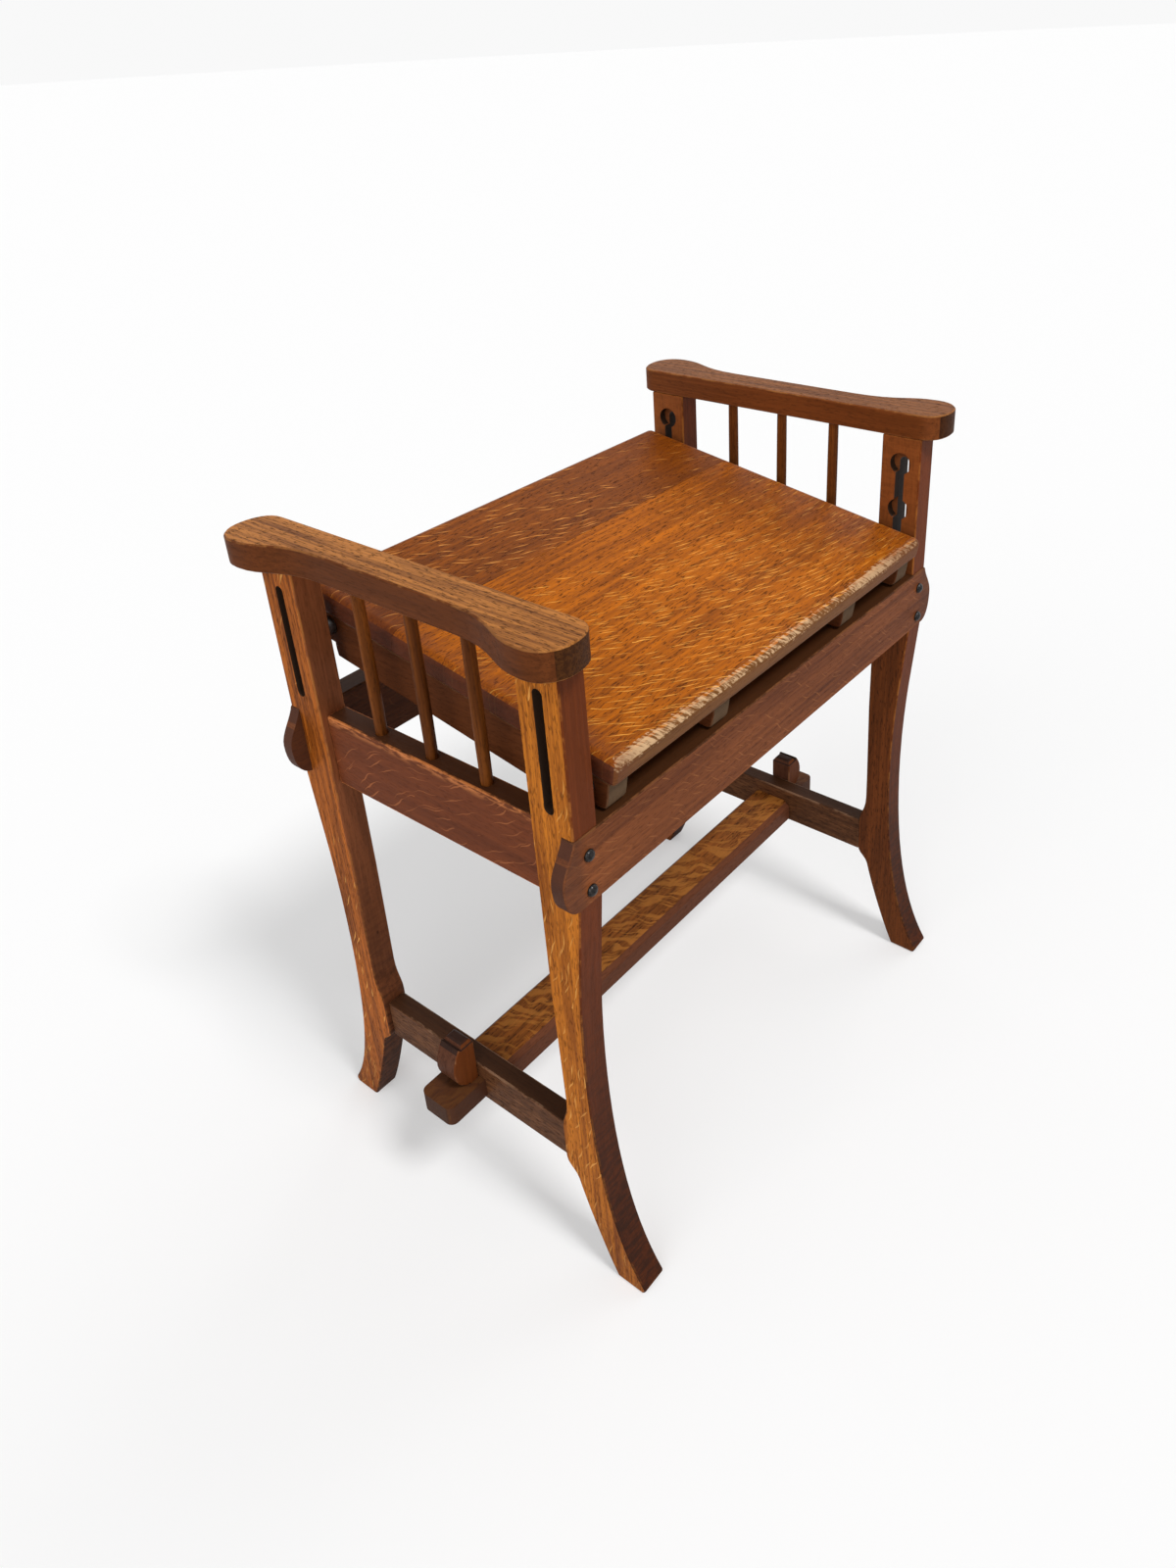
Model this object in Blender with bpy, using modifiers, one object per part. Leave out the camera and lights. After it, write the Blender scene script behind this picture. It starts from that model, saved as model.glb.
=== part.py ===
"""Oak adjustable stool: open arm frames, a tusk-tenoned footrest and a seat that steps up keyhole posts.

Metres. +X runs arm to arm, -Y is the front, +Z is up, and the origin is on the floor at the middle.
The rest pose has the seat's front in its lowest holes and its back one hole higher.
"""
import math

import bmesh
import bpy
from mathutils import Matrix, Vector

# Fit
GAP = 0.0003
RUN = 0.0003
CUT_OVER = 0.004

# Posts and legs
POST_OUT_X = 0.248
POST_THICK = 0.024
POST_FRONT_Y = 0.149
POST_WIDE = 0.038
ARM_UNDER_Z = 0.578
POST_TENON = (0.012, 0.022, 0.011)
WAIST_IN = 0.0103
WAIST_Z = 0.230
TOE_REACH = 0.033
TOE_LIFT = 0.005
SOLE_SET = 0.0025
FOOT_LONG = 0.029
PAD_PROUD = 0.004
PAD_TOP_OVER = 0.0015
PAD_LOW_IN = 0.006
LEG_BACK_IN = 0.0025
NOTCH_IN = 0.0075

# Keyhole ladder in each post
HOLE_TOP_DROP = 0.0252
HOLE_PITCH = 0.0432
HOLE_COUNT = 3
HOLE_D = 0.020
HOLE_DEEP = 0.008

# Arms and spindles
ARM_THICK = 0.022
ARM_IN_OVER = 0.0015
ARM_MID_OUT = 0.006
ARM_LOBE_OUT = 0.023
ARM_END_OUT = 0.016
SPINDLE_D = 0.0095
SPINDLE_PITCH = 0.056
SPINDLE_DEEP = 0.010
SPINDLE_EASE = 0.0008
SPINDLES = ("front", "middle", "back")

# Front and back rails
RAIL_DROP = 0.0189
RAIL_HIGH = 0.058
RAIL_THICK = 0.0216
RAIL_LAP = 0.0115
RAIL_PROUD = 0.0012
RAIL_SOFT = 0.0012
EAR_OUT = 0.0140
STUD_D = 0.0095
STUD_HIGH = 0.0032
STUD_SHANK_D = 0.005
STUD_LONG = 0.022
STUD_TOP_IN = 0.017
STUD_LOW_IN = 0.0115

# Side rails
SIDE_RISE = 0.001
SIDE_HIGH = 0.063
SIDE_THICK = 0.0185
SIDE_SET = 0.0052
SIDE_TENON = (0.009, 0.009, 0.040)

# Lower side rails
LOW_TOP_Z = 0.1465
LOW_HIGH = 0.0385
LOW_THICK = 0.0175
LOW_SET = 0.004
LOW_TENON = (0.009, 0.011, 0.022)

# Footrest and wedges
REST_Y = 0.004
REST_DROP = 0.0145
REST_THICK = 0.022
REST_WIDE = 0.047
REST_CHAMFER = 0.0045
TUSK_WIDE = 0.036
TUSK_THICK = 0.019
TUSK_OUT = 0.0405
WEDGE_WIDE = 0.022
WEDGE_RISE = {"left": 0.0465, "right": 0.039}
WEDGE_DROP = 0.019
WEDGE_HEAD = 0.0142
WEDGE_BELLY = 0.0192
WEDGE_NECK = 0.0128
WEDGE_TONGUE = 0.0095
WEDGE_FOOT = 0.008
WEDGE_SOFT = 0.0010

# Seat
SEAT_SIDE_GAP = 0.0095
SEAT_NOSE = 0.0065
SEAT_THICK = 0.020
SEAT_SEAM_Y = 0.0575
SEAT_OVER_ROD = 0.0304
SEAT_ROUND = 0.0075
BEARER_WIDE = 0.021
BEARER_DEEP = 0.037
BEARER_END_DEEP = 0.0255
BEARER_SHORT = 0.006
BEARER_SET = 0.0025
STEP_CLEAR = 0.0005
INNER_BEARER_X = (-0.082, 0.105)
SCREW_D = 0.0045
SCREW_HEAD_D = 0.009
SCREW_Y = 0.078
SCREW_BITE = 0.011
SCREW_SINK = 0.006
SCREW_RIM = 0.0012
SCREW_CONE = 0.0040

# Rods and locking sleeves
FRONT_ROD_D = 0.008
ROD_SHORT = 0.0075
COLLAR_PROUD = 0.0025
COLLAR_LONG = 0.005
SLEEVE_D = 0.015
SLEEVE_STROKE = 0.0075
FLANGE_D = 0.019
FLANGE_LONG = 0.006

# Derived positions
POST_IN_X = POST_OUT_X - POST_THICK
POST_MID_X = POST_OUT_X - POST_THICK / 2
POST_MID_Y = POST_FRONT_Y - POST_WIDE / 2
POST_BACK_Y = POST_FRONT_Y - POST_WIDE
HOLE_TOP_Z = ARM_UNDER_Z - HOLE_TOP_DROP
HOLE_LOW_Z = HOLE_TOP_Z - HOLE_PITCH * (HOLE_COUNT - 1)
RAIL_TOP_Z = HOLE_LOW_Z - RAIL_DROP
RAIL_LOW_Z = RAIL_TOP_Z - RAIL_HIGH
RAIL_OUT_Y = POST_FRONT_Y + RAIL_PROUD
RAIL_IN_Y = RAIL_OUT_Y - RAIL_THICK
LAP_IN_Y = RAIL_OUT_Y - RAIL_LAP
SIDE_TOP_Z = RAIL_TOP_Z + SIDE_RISE
SIDE_LOW_Z = SIDE_TOP_Z - SIDE_HIGH
SIDE_OUT_X = POST_OUT_X - SIDE_SET
SIDE_MID_X = SIDE_OUT_X - SIDE_THICK / 2
LOW_LOW_Z = LOW_TOP_Z - LOW_HIGH
LOW_OUT_X = POST_OUT_X - LOW_SET
LOW_IN_X = LOW_OUT_X - LOW_THICK
LOW_MID_X = LOW_OUT_X - LOW_THICK / 2
PAD_Y = POST_BACK_Y - PAD_PROUD
REST_TOP_Z = LOW_TOP_Z - REST_DROP
REST_LOW_Z = REST_TOP_Z - REST_THICK
TUSK_LOW_Z = REST_TOP_Z - TUSK_THICK
TUSK_TIP_X = LOW_OUT_X + TUSK_OUT
WEDGE_LOW_Z = TUSK_LOW_Z - WEDGE_DROP
# The rods lie a little further apart than the holes: the level and the sloped seat are equally off centre.
HOLES_APART = 2 * POST_MID_Y
RODS_APART = HOLES_APART + HOLE_PITCH ** 2 / (4 * HOLES_APART)
SEAT_SLOPE = math.asin(HOLE_PITCH / RODS_APART)
# The front rod fills its slots and rests on their lower ends. The back rod is thinner, to shift in its own.
SLOT_WIDE = FRONT_ROD_D + 2 * GAP
BACK_ROD_D = FRONT_ROD_D - 2 * (RODS_APART - HOLES_APART)
RODS = {"front": (0.0, FRONT_ROD_D), "back": (RODS_APART, BACK_ROD_D)}
ROD_HALF_X = POST_OUT_X - ROD_SHORT
SEAT_HALF_X = POST_IN_X - SEAT_SIDE_GAP
SEAT_HALF_Y = POST_FRONT_Y + SEAT_NOSE
SEAT_FRONT = POST_MID_Y - SEAT_HALF_Y
BEARER_HALF_Y = SEAT_HALF_Y - BEARER_SHORT
SEAT_LOW = SEAT_OVER_ROD - SEAT_THICK
BEARER_LOW = SEAT_LOW - BEARER_DEEP
SLEEVE_END_X = POST_IN_X - GAP
BEARER_OUT_X = SEAT_HALF_X - BEARER_SET
BEARER_IN_X = BEARER_OUT_X - BEARER_WIDE
FLANGE_FACE_X = BEARER_IN_X - SLEEVE_STROKE - GAP

for old in list(bpy.data.objects):
    bpy.data.objects.remove(old, do_unlink=True)
parts = bpy.data.collections.new("adjustable_stool")
cutters = bpy.data.collections.new("cutters")
bpy.context.scene.collection.children.link(parts)
bpy.context.scene.collection.children.link(cutters)


def material(name, colour, roughness, metallic=0.0):
    made = bpy.data.materials.new(name)
    made.use_nodes = True
    shader = made.node_tree.nodes["Principled BSDF"]
    shader.inputs["Base Color"].default_value = (*colour, 1.0)
    shader.inputs["Roughness"].default_value = roughness
    shader.inputs["Metallic"].default_value = metallic
    return made


LEG_OAK = (0.36, 0.150, 0.040)
RAIL_OAK = (0.17, 0.062, 0.026)
DARK_OAK = (0.115, 0.045, 0.019)
ARM_OAK = (0.22, 0.088, 0.028)
SEAT_OAK = (0.33, 0.122, 0.028)
STEEL = (0.20, 0.20, 0.21)
IRON = (0.018, 0.018, 0.020)


def from_bmesh(built, single=True):
    """A mesh from one closed body with its faces turned out, or from bodies that already are."""
    if single:
        bmesh.ops.recalc_face_normals(built, faces=built.faces)
        if built.calc_volume(signed=True) < 0:
            bmesh.ops.reverse_faces(built, faces=built.faces)
    mesh = bpy.data.meshes.new("shape")
    built.to_mesh(mesh)
    built.free()
    return mesh


def box(low, high):
    built = bmesh.new()
    low, high = Vector(low), Vector(high)
    size = high - low
    place = Matrix.Translation((low + high) / 2) @ Matrix.Diagonal((*size, 1.0))
    bmesh.ops.create_cube(built, size=1.0, matrix=place)
    return from_bmesh(built)


def rod_mesh(start, axis, length, diameter, sides=24):
    built = bmesh.new()
    turn = Vector((0, 0, 1)).rotation_difference(Vector(axis)).to_matrix().to_4x4()
    middle = Vector(start) + Vector(axis) * length / 2
    bmesh.ops.create_cone(built, cap_ends=True, segments=sides, radius1=diameter / 2, radius2=diameter / 2,
                          depth=length, matrix=Matrix.Translation(middle) @ turn)
    return from_bmesh(built)


def bend(start, pull, push, end, count):
    """Points along a cubic from start to end, without the start."""
    found = []
    for step in range(1, count + 1):
        t = step / count
        s = 1 - t
        weights = (s ** 3, 3 * s * s * t, 3 * s * t * t, t ** 3)
        corners = (start, pull, push, end)
        found.append(tuple(sum(w * c[k] for w, c in zip(weights, corners)) for k in (0, 1)))
    return found


def plate(outline, thick, place):
    """A filled 2D curve given thickness, turned into a mesh and moved by a matrix."""
    curve = bpy.data.curves.new("outline", "CURVE")
    curve.dimensions = "2D"
    curve.fill_mode = "BOTH"
    curve.extrude = thick / 2
    spline = curve.splines.new("POLY")
    spline.points.add(len(outline) - 1)
    for point, where in zip(spline.points, outline):
        point.co = (where[0], where[1], 0.0, 1.0)
    spline.use_cyclic_u = True
    holder = bpy.data.objects.new("outline", curve)
    cutters.objects.link(holder)
    graph = bpy.context.evaluated_depsgraph_get()
    mesh = bpy.data.meshes.new_from_object(holder.evaluated_get(graph))
    bpy.data.objects.remove(holder)
    bpy.data.curves.remove(curve)
    built = bmesh.new()
    built.from_mesh(mesh)
    bpy.data.meshes.remove(mesh)
    bmesh.ops.remove_doubles(built, verts=built.verts, dist=0.000001)
    bmesh.ops.dissolve_limit(built, angle_limit=math.radians(0.4), verts=built.verts, edges=built.edges)
    built.transform(place)
    return from_bmesh(built)


def lathe(profile, place, sides=24, ring=False):
    """Turns a profile of (radius, height) about Z with a Screw modifier and moves the mesh by a matrix."""
    mesh = bpy.data.meshes.new("profile")
    edges = [(k, k + 1) for k in range(len(profile) - 1)]
    if ring:
        edges.append((len(profile) - 1, 0))
    mesh.from_pydata([(r, 0.0, h) for r, h in profile], edges, [])
    holder = bpy.data.objects.new("profile", mesh)
    cutters.objects.link(holder)
    turn = holder.modifiers.new("turn", "SCREW")
    turn.axis = "Z"
    turn.steps = sides
    turn.render_steps = sides
    turn.use_merge_vertices = True
    turn.merge_threshold = 0.000005
    graph = bpy.context.evaluated_depsgraph_get()
    turned = bpy.data.meshes.new_from_object(holder.evaluated_get(graph))
    bpy.data.objects.remove(holder)
    built = bmesh.new()
    built.from_mesh(turned)
    bpy.data.meshes.remove(turned)
    bmesh.ops.remove_doubles(built, verts=built.verts, dist=0.000005)
    built.transform(place)
    return from_bmesh(built)


def joined(meshes):
    built = bmesh.new()
    for mesh in meshes:
        built.from_mesh(mesh)
    return from_bmesh(built, single=False)


def reflected(mesh, x=1, y=1):
    built = bmesh.new()
    built.from_mesh(mesh)
    built.transform(Matrix.Diagonal((x, y, 1, 1)))
    if x * y < 0:
        bmesh.ops.reverse_faces(built, faces=built.faces)
    return from_bmesh(built, single=False)


def part(name, mesh, colour, roughness=0.45, metallic=0.0, parent=None, soft=0.0, rounds=2):
    """One named sub-part with its own material and, for wood, softened arrises."""
    mesh.name = name
    made = bpy.data.objects.new(name, mesh)
    parts.objects.link(made)
    mesh.materials.append(material(name, colour, roughness, metallic))
    made.parent = parent
    if soft:
        arris = made.modifiers.new("arris", "BEVEL")
        arris.width = soft
        arris.segments = rounds
        arris.limit_method = "ANGLE"
        arris.angle_limit = math.radians(50)
        made.modifiers.new("split", "TRIANGULATE")
    return made


def shape(target, mesh, how="DIFFERENCE"):
    """Cuts a mesh from a sub-part, or joins it on."""
    tool = bpy.data.objects.new(target.name + "_tool", mesh)
    tool.parent = target.parent
    tool.hide_render = True
    tool.display_type = "WIRE"
    cutters.objects.link(tool)
    work = target.modifiers.new("shape", "BOOLEAN")
    work.operation = how
    work.solver = "EXACT"
    work.object = tool


ALONG_X = Matrix(((0, 0, 1, 0), (1, 0, 0, 0), (0, 1, 0, 0), (0, 0, 0, 1)))
ALONG_Y = Matrix(((1, 0, 0, 0), (0, 0, -1, 0), (0, 1, 0, 0), (0, 0, 0, 1)))


def turned_to(axis, where):
    """A matrix that carries the lathe's axis to a direction and its foot to a place."""
    turn = Vector((0, 0, 1)).rotation_difference(Vector(axis)).to_matrix().to_4x4()
    return Matrix.Translation(where) @ turn


# Legs: sawn from the plank as one sabre profile, straight above the rail and swept out at the floor
post_top = ARM_UNDER_Z - GAP
waist_y = -(POST_FRONT_Y - WAIST_IN)
toe_y = -(POST_FRONT_Y + TOE_REACH)
heel_y = toe_y + FOOT_LONG
notch_y = -(POST_BACK_Y + NOTCH_IN)
slim_y = -(POST_BACK_Y + LEG_BACK_IN)
notch_z = LOW_LOW_Z - 0.34 * LOW_HIGH
pad_top_z = LOW_TOP_Z + PAD_TOP_OVER
pad_low_z = LOW_LOW_Z + PAD_LOW_IN
slim_z = LOW_TOP_Z + 0.87 * LOW_HIGH
straight_z = (slim_z + RAIL_LOW_Z) / 2 + 0.045
knee = RAIL_LOW_Z - WAIST_Z
leg_line = [(-POST_BACK_Y, post_top), (-POST_FRONT_Y, post_top), (-POST_FRONT_Y, RAIL_LOW_Z)]
leg_line += bend((-POST_FRONT_Y, RAIL_LOW_Z), (-POST_FRONT_Y + 0.34 * WAIST_IN, RAIL_LOW_Z - 0.28 * knee),
                 (waist_y, RAIL_LOW_Z - 0.56 * knee), (waist_y, WAIST_Z), 8)
leg_line += bend((waist_y, WAIST_Z), (waist_y, 0.52 * WAIST_Z),
                 (waist_y + 0.376 * (toe_y - waist_y), 0.195 * WAIST_Z), (toe_y, TOE_LIFT), 14)
leg_line += [(toe_y + SOLE_SET, 0.0), (heel_y, 0.0)]
leg_line += bend((heel_y, 0.0), (heel_y + 0.29 * (notch_y - heel_y), 0.21 * notch_z),
                 (heel_y + 0.8 * (notch_y - heel_y), 0.715 * notch_z), (notch_y, notch_z), 9)
pad_in = -PAD_Y - notch_y
pad_up = pad_low_z - notch_z
leg_line += bend((notch_y, notch_z), (notch_y + 0.22 * pad_in, notch_z + 0.45 * pad_up),
                 (-PAD_Y, notch_z + 0.47 * pad_up), (-PAD_Y, pad_low_z), 5)
leg_line += [(-PAD_Y, pad_top_z)]
leg_line += bend((-PAD_Y, pad_top_z), (-PAD_Y, pad_top_z + 0.375 * (slim_z - pad_top_z)),
                 (slim_y, pad_top_z + 0.44 * (slim_z - pad_top_z)), (slim_y, slim_z), 6)
leg_line += bend((slim_y, slim_z), (slim_y, slim_z + 0.27 * (straight_z - slim_z)),
                 (-POST_BACK_Y, slim_z + 0.53 * (straight_z - slim_z)), (-POST_BACK_Y, straight_z), 5)
leg_mesh = plate(leg_line, POST_THICK, Matrix.Translation((POST_MID_X, 0, 0)) @ ALONG_X)

slot_line = []
for turn in range(13):
    slot_line.append((-POST_MID_Y + SLOT_WIDE / 2 * math.cos(math.pi * turn / 12),
                      HOLE_TOP_Z + SLOT_WIDE / 2 * math.sin(math.pi * turn / 12)))
for turn in range(13):
    slot_line.append((-POST_MID_Y - SLOT_WIDE / 2 * math.cos(math.pi * turn / 12),
                      HOLE_LOW_Z - SLOT_WIDE / 2 * math.sin(math.pi * turn / 12)))
slot_mesh = plate(slot_line, POST_THICK + 2 * CUT_OVER, Matrix.Translation((POST_MID_X, 0, 0)) @ ALONG_X)
hole_meshes = []
for step in range(HOLE_COUNT):
    start = (POST_IN_X - CUT_OVER, -POST_MID_Y, HOLE_LOW_Z + step * HOLE_PITCH)
    hole_meshes.append(rod_mesh(start, (1, 0, 0), HOLE_DEEP + CUT_OVER, HOLE_D, 32))
tenon_x = POST_TENON[0] / 2
tenon_y = POST_TENON[1] / 2
tenon_mesh = box((POST_MID_X - tenon_x, -POST_MID_Y - tenon_y, post_top - CUT_OVER),
                 (POST_MID_X + tenon_x, -POST_MID_Y + tenon_y, ARM_UNDER_Z + POST_TENON[2]))
rail_cut = box((POST_IN_X - CUT_OVER, -RAIL_OUT_Y - CUT_OVER, RAIL_LOW_Z - GAP),
               (POST_OUT_X + CUT_OVER, -LAP_IN_Y + GAP, RAIL_TOP_Z + GAP))
side_cut = box((SIDE_MID_X - SIDE_TENON[0] / 2 - GAP, -POST_BACK_Y - SIDE_TENON[1] - GAP,
                SIDE_LOW_Z + (SIDE_HIGH - SIDE_TENON[2]) / 2 - GAP),
               (SIDE_MID_X + SIDE_TENON[0] / 2 + GAP, -POST_BACK_Y + CUT_OVER,
                SIDE_TOP_Z - (SIDE_HIGH - SIDE_TENON[2]) / 2 + GAP))
low_cut = box((LOW_MID_X - LOW_TENON[0] / 2 - GAP, -PAD_Y - LOW_TENON[1] - GAP,
               LOW_LOW_Z + (LOW_HIGH - LOW_TENON[2]) / 2 - GAP),
              (LOW_MID_X + LOW_TENON[0] / 2 + GAP, -PAD_Y + CUT_OVER,
               LOW_TOP_Z - (LOW_HIGH - LOW_TENON[2]) / 2 + GAP))
stud_heights = (RAIL_TOP_Z - STUD_TOP_IN, RAIL_LOW_Z + STUD_LOW_IN)
stud_end_y = RAIL_OUT_Y - STUD_LONG
stud_cuts = []
for height in stud_heights:
    stud_cuts.append(rod_mesh((POST_MID_X, -RAIL_OUT_Y - CUT_OVER, height), (0, 1, 0),
                              STUD_LONG + CUT_OVER + GAP, STUD_SHANK_D + 2 * GAP, 12))
for side, x in (("left", -1), ("right", 1)):
    for end, y in (("front", 1), ("back", -1)):
        leg = part(end + "_" + side + "_leg", reflected(leg_mesh, x, y), LEG_OAK, 0.42, soft=0.0012, rounds=1)
        shape(leg, reflected(tenon_mesh, x, y), "UNION")
        shape(leg, reflected(slot_mesh, x, y))
        shape(leg, reflected(joined(hole_meshes), x, y))
        shape(leg, reflected(rail_cut, x, y))
        shape(leg, reflected(side_cut, x, y))
        shape(leg, reflected(low_cut, x, y))
        shape(leg, reflected(joined(stud_cuts), x, y))

# Arms: boards with a straight inner edge and lobed ends, on the post tenons and the spindle tops
arm_in = POST_IN_X - ARM_IN_OVER
arm_mid = POST_OUT_X + ARM_MID_OUT
arm_lobe = POST_OUT_X + ARM_LOBE_OUT
arm_end = POST_FRONT_Y + ARM_END_OUT
arm_crown = (arm_in + arm_lobe) / 2
lobe_y = arm_end - 0.5 * (arm_lobe - arm_in)
neck_y = lobe_y - 0.58 * POST_MID_Y
corner_y = arm_end - 0.40 * (arm_lobe - arm_in)
half = [(arm_in, -corner_y)]
half += bend((arm_in, -corner_y), (arm_in, -arm_end + 0.14 * (arm_lobe - arm_in)),
             (arm_in + 0.2 * (arm_lobe - arm_in), -arm_end), (arm_crown, -arm_end), 7)
half += bend((arm_crown, -arm_end), (arm_lobe - 0.2 * (arm_lobe - arm_in), -arm_end),
             (arm_lobe, -arm_end + 0.2 * (arm_lobe - arm_in)), (arm_lobe, -lobe_y), 8)
half += bend((arm_lobe, -lobe_y), (arm_lobe, -lobe_y + 0.38 * (lobe_y - neck_y)),
             (arm_mid, -neck_y - 0.6 * (lobe_y - neck_y)), (arm_mid, -neck_y), 8)
arm_line = half + [(x, -y) for x, y in reversed(half)]
arm_mesh = plate(arm_line, ARM_THICK, Matrix.Translation((0, 0, ARM_UNDER_Z + ARM_THICK / 2)))
arm_cuts = []
for y in (-POST_MID_Y, POST_MID_Y):
    arm_cuts.append(box((POST_MID_X - tenon_x - GAP, y - tenon_y - GAP, ARM_UNDER_Z - CUT_OVER),
                        (POST_MID_X + tenon_x + GAP, y + tenon_y + GAP, ARM_UNDER_Z + POST_TENON[2] + GAP)))
spindle_y = {name: (k - 1) * SPINDLE_PITCH for k, name in enumerate(SPINDLES)}
for y in spindle_y.values():
    arm_cuts.append(rod_mesh((SIDE_MID_X, y, ARM_UNDER_Z - CUT_OVER), (0, 0, 1), SPINDLE_DEEP + CUT_OVER + GAP,
                             SPINDLE_D + 2 * GAP, 16))
for side, x in (("left", -1), ("right", 1)):
    arm = part(side + "_arm", reflected(arm_mesh, x), ARM_OAK, 0.5, soft=0.0012, rounds=1)
    shape(arm, reflected(joined(arm_cuts), x))

# Spindles: plain turned rods from the side rail up into the arm, eased at the ends to start in their bores
spindle_low = SIDE_TOP_Z - SPINDLE_DEEP
spindle_high = ARM_UNDER_Z + SPINDLE_DEEP
spindle_long = spindle_high - spindle_low
for side, x in (("left", -1), ("right", 1)):
    for name, y in spindle_y.items():
        spindle_line = [(0, 0), (SPINDLE_D / 2 - SPINDLE_EASE, 0), (SPINDLE_D / 2, SPINDLE_EASE),
                        (SPINDLE_D / 2, spindle_long - SPINDLE_EASE), (SPINDLE_D / 2 - SPINDLE_EASE, spindle_long),
                        (0, spindle_long)]
        mesh = lathe(spindle_line, Matrix.Translation((x * SIDE_MID_X, y, spindle_low)), 16)
        part(side + "_spindle_" + name, mesh, ARM_OAK, 0.45)

# Side rails: upright boards between the posts, tenoned in and bored on top for the spindles
side_y = POST_BACK_Y - GAP
side_mesh = box((SIDE_MID_X - SIDE_THICK / 2, -side_y, SIDE_LOW_Z), (SIDE_OUT_X, side_y, SIDE_TOP_Z))
side_tenon = box((SIDE_MID_X - SIDE_TENON[0] / 2, -POST_BACK_Y - SIDE_TENON[1],
                  SIDE_LOW_Z + (SIDE_HIGH - SIDE_TENON[2]) / 2),
                 (SIDE_MID_X + SIDE_TENON[0] / 2, POST_BACK_Y + SIDE_TENON[1],
                  SIDE_TOP_Z - (SIDE_HIGH - SIDE_TENON[2]) / 2))
side_bores = []
for y in spindle_y.values():
    side_bores.append(rod_mesh((SIDE_MID_X, y, spindle_low - GAP), (0, 0, 1), SPINDLE_DEEP + CUT_OVER,
                               SPINDLE_D + 2 * GAP, 16))
for side, x in (("left", -1), ("right", 1)):
    rail = part(side + "_side_rail", reflected(side_mesh, x), RAIL_OAK, 0.42, soft=0.0015, rounds=2)
    shape(rail, reflected(side_tenon, x), "UNION")
    shape(rail, reflected(joined(side_bores), x))

# Lower side rails: tie each pair of legs at the pads and carry the footrest's tenons
low_y = PAD_Y - GAP
low_mesh = box((LOW_IN_X, -low_y, LOW_LOW_Z), (LOW_OUT_X, low_y, LOW_TOP_Z))
low_shoulder = (LOW_HIGH - LOW_TENON[2]) / 2
low_tenon = box((LOW_MID_X - LOW_TENON[0] / 2, -PAD_Y - LOW_TENON[1], LOW_LOW_Z + low_shoulder),
                (LOW_MID_X + LOW_TENON[0] / 2, PAD_Y + LOW_TENON[1], LOW_TOP_Z - low_shoulder))
tusk_hole = box((LOW_IN_X - CUT_OVER, REST_Y - TUSK_WIDE / 2 - GAP, TUSK_LOW_Z - GAP),
                (LOW_OUT_X + CUT_OVER, REST_Y + TUSK_WIDE / 2 + GAP, REST_TOP_Z + GAP))
for side, x in (("left", -1), ("right", 1)):
    rail = part(side + "_lower_rail", reflected(low_mesh, x), DARK_OAK, 0.45, soft=0.0015, rounds=2)
    shape(rail, reflected(low_tenon, x), "UNION")
    shape(rail, reflected(tusk_hole, x))

# Footrest: a flat board with chamfered top edges, whose tenons run through the lower rails
rest_x = LOW_IN_X - GAP
rest_half = REST_WIDE / 2
rest_line = [(-rest_half, REST_LOW_Z), (rest_half, REST_LOW_Z), (rest_half, REST_TOP_Z - REST_CHAMFER),
             (rest_half - REST_CHAMFER, REST_TOP_Z), (-rest_half + REST_CHAMFER, REST_TOP_Z),
             (-rest_half, REST_TOP_Z - REST_CHAMFER)]
rest_mesh = plate(rest_line, 2 * rest_x, Matrix.Translation((0, REST_Y, 0)) @ ALONG_X)
tip = 0.18 * TUSK_WIDE
tusk_line = []
for x, y in ((1, -1), (1, 1), (-1, 1), (-1, -1)):
    edge = REST_Y + y * TUSK_WIDE / 2
    corner = [(x * (TUSK_TIP_X - tip), edge)]
    corner += bend(corner[0], (x * (TUSK_TIP_X - 0.4 * tip), edge), (x * TUSK_TIP_X, edge - y * 0.6 * tip),
                   (x * TUSK_TIP_X, edge - y * tip), 4)
    tusk_line += corner if x * y < 0 else corner[::-1]
tusk_mesh = plate(tusk_line, TUSK_THICK, Matrix.Translation((0, 0, REST_TOP_Z - TUSK_THICK / 2)))
wedge_x = LOW_OUT_X + GAP
wedge_hole = box((wedge_x - GAP, REST_Y - WEDGE_WIDE / 2 - GAP, TUSK_LOW_Z - CUT_OVER),
                 (wedge_x + WEDGE_TONGUE + WEDGE_SOFT + GAP, REST_Y + WEDGE_WIDE / 2 + GAP,
                  REST_TOP_Z + CUT_OVER))
footrest = part("footrest", rest_mesh, SEAT_OAK, 0.45, soft=0.0010, rounds=1)
shape(footrest, tusk_mesh, "UNION")
shape(footrest, wedge_hole)
shape(footrest, reflected(wedge_hole, -1))

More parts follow.
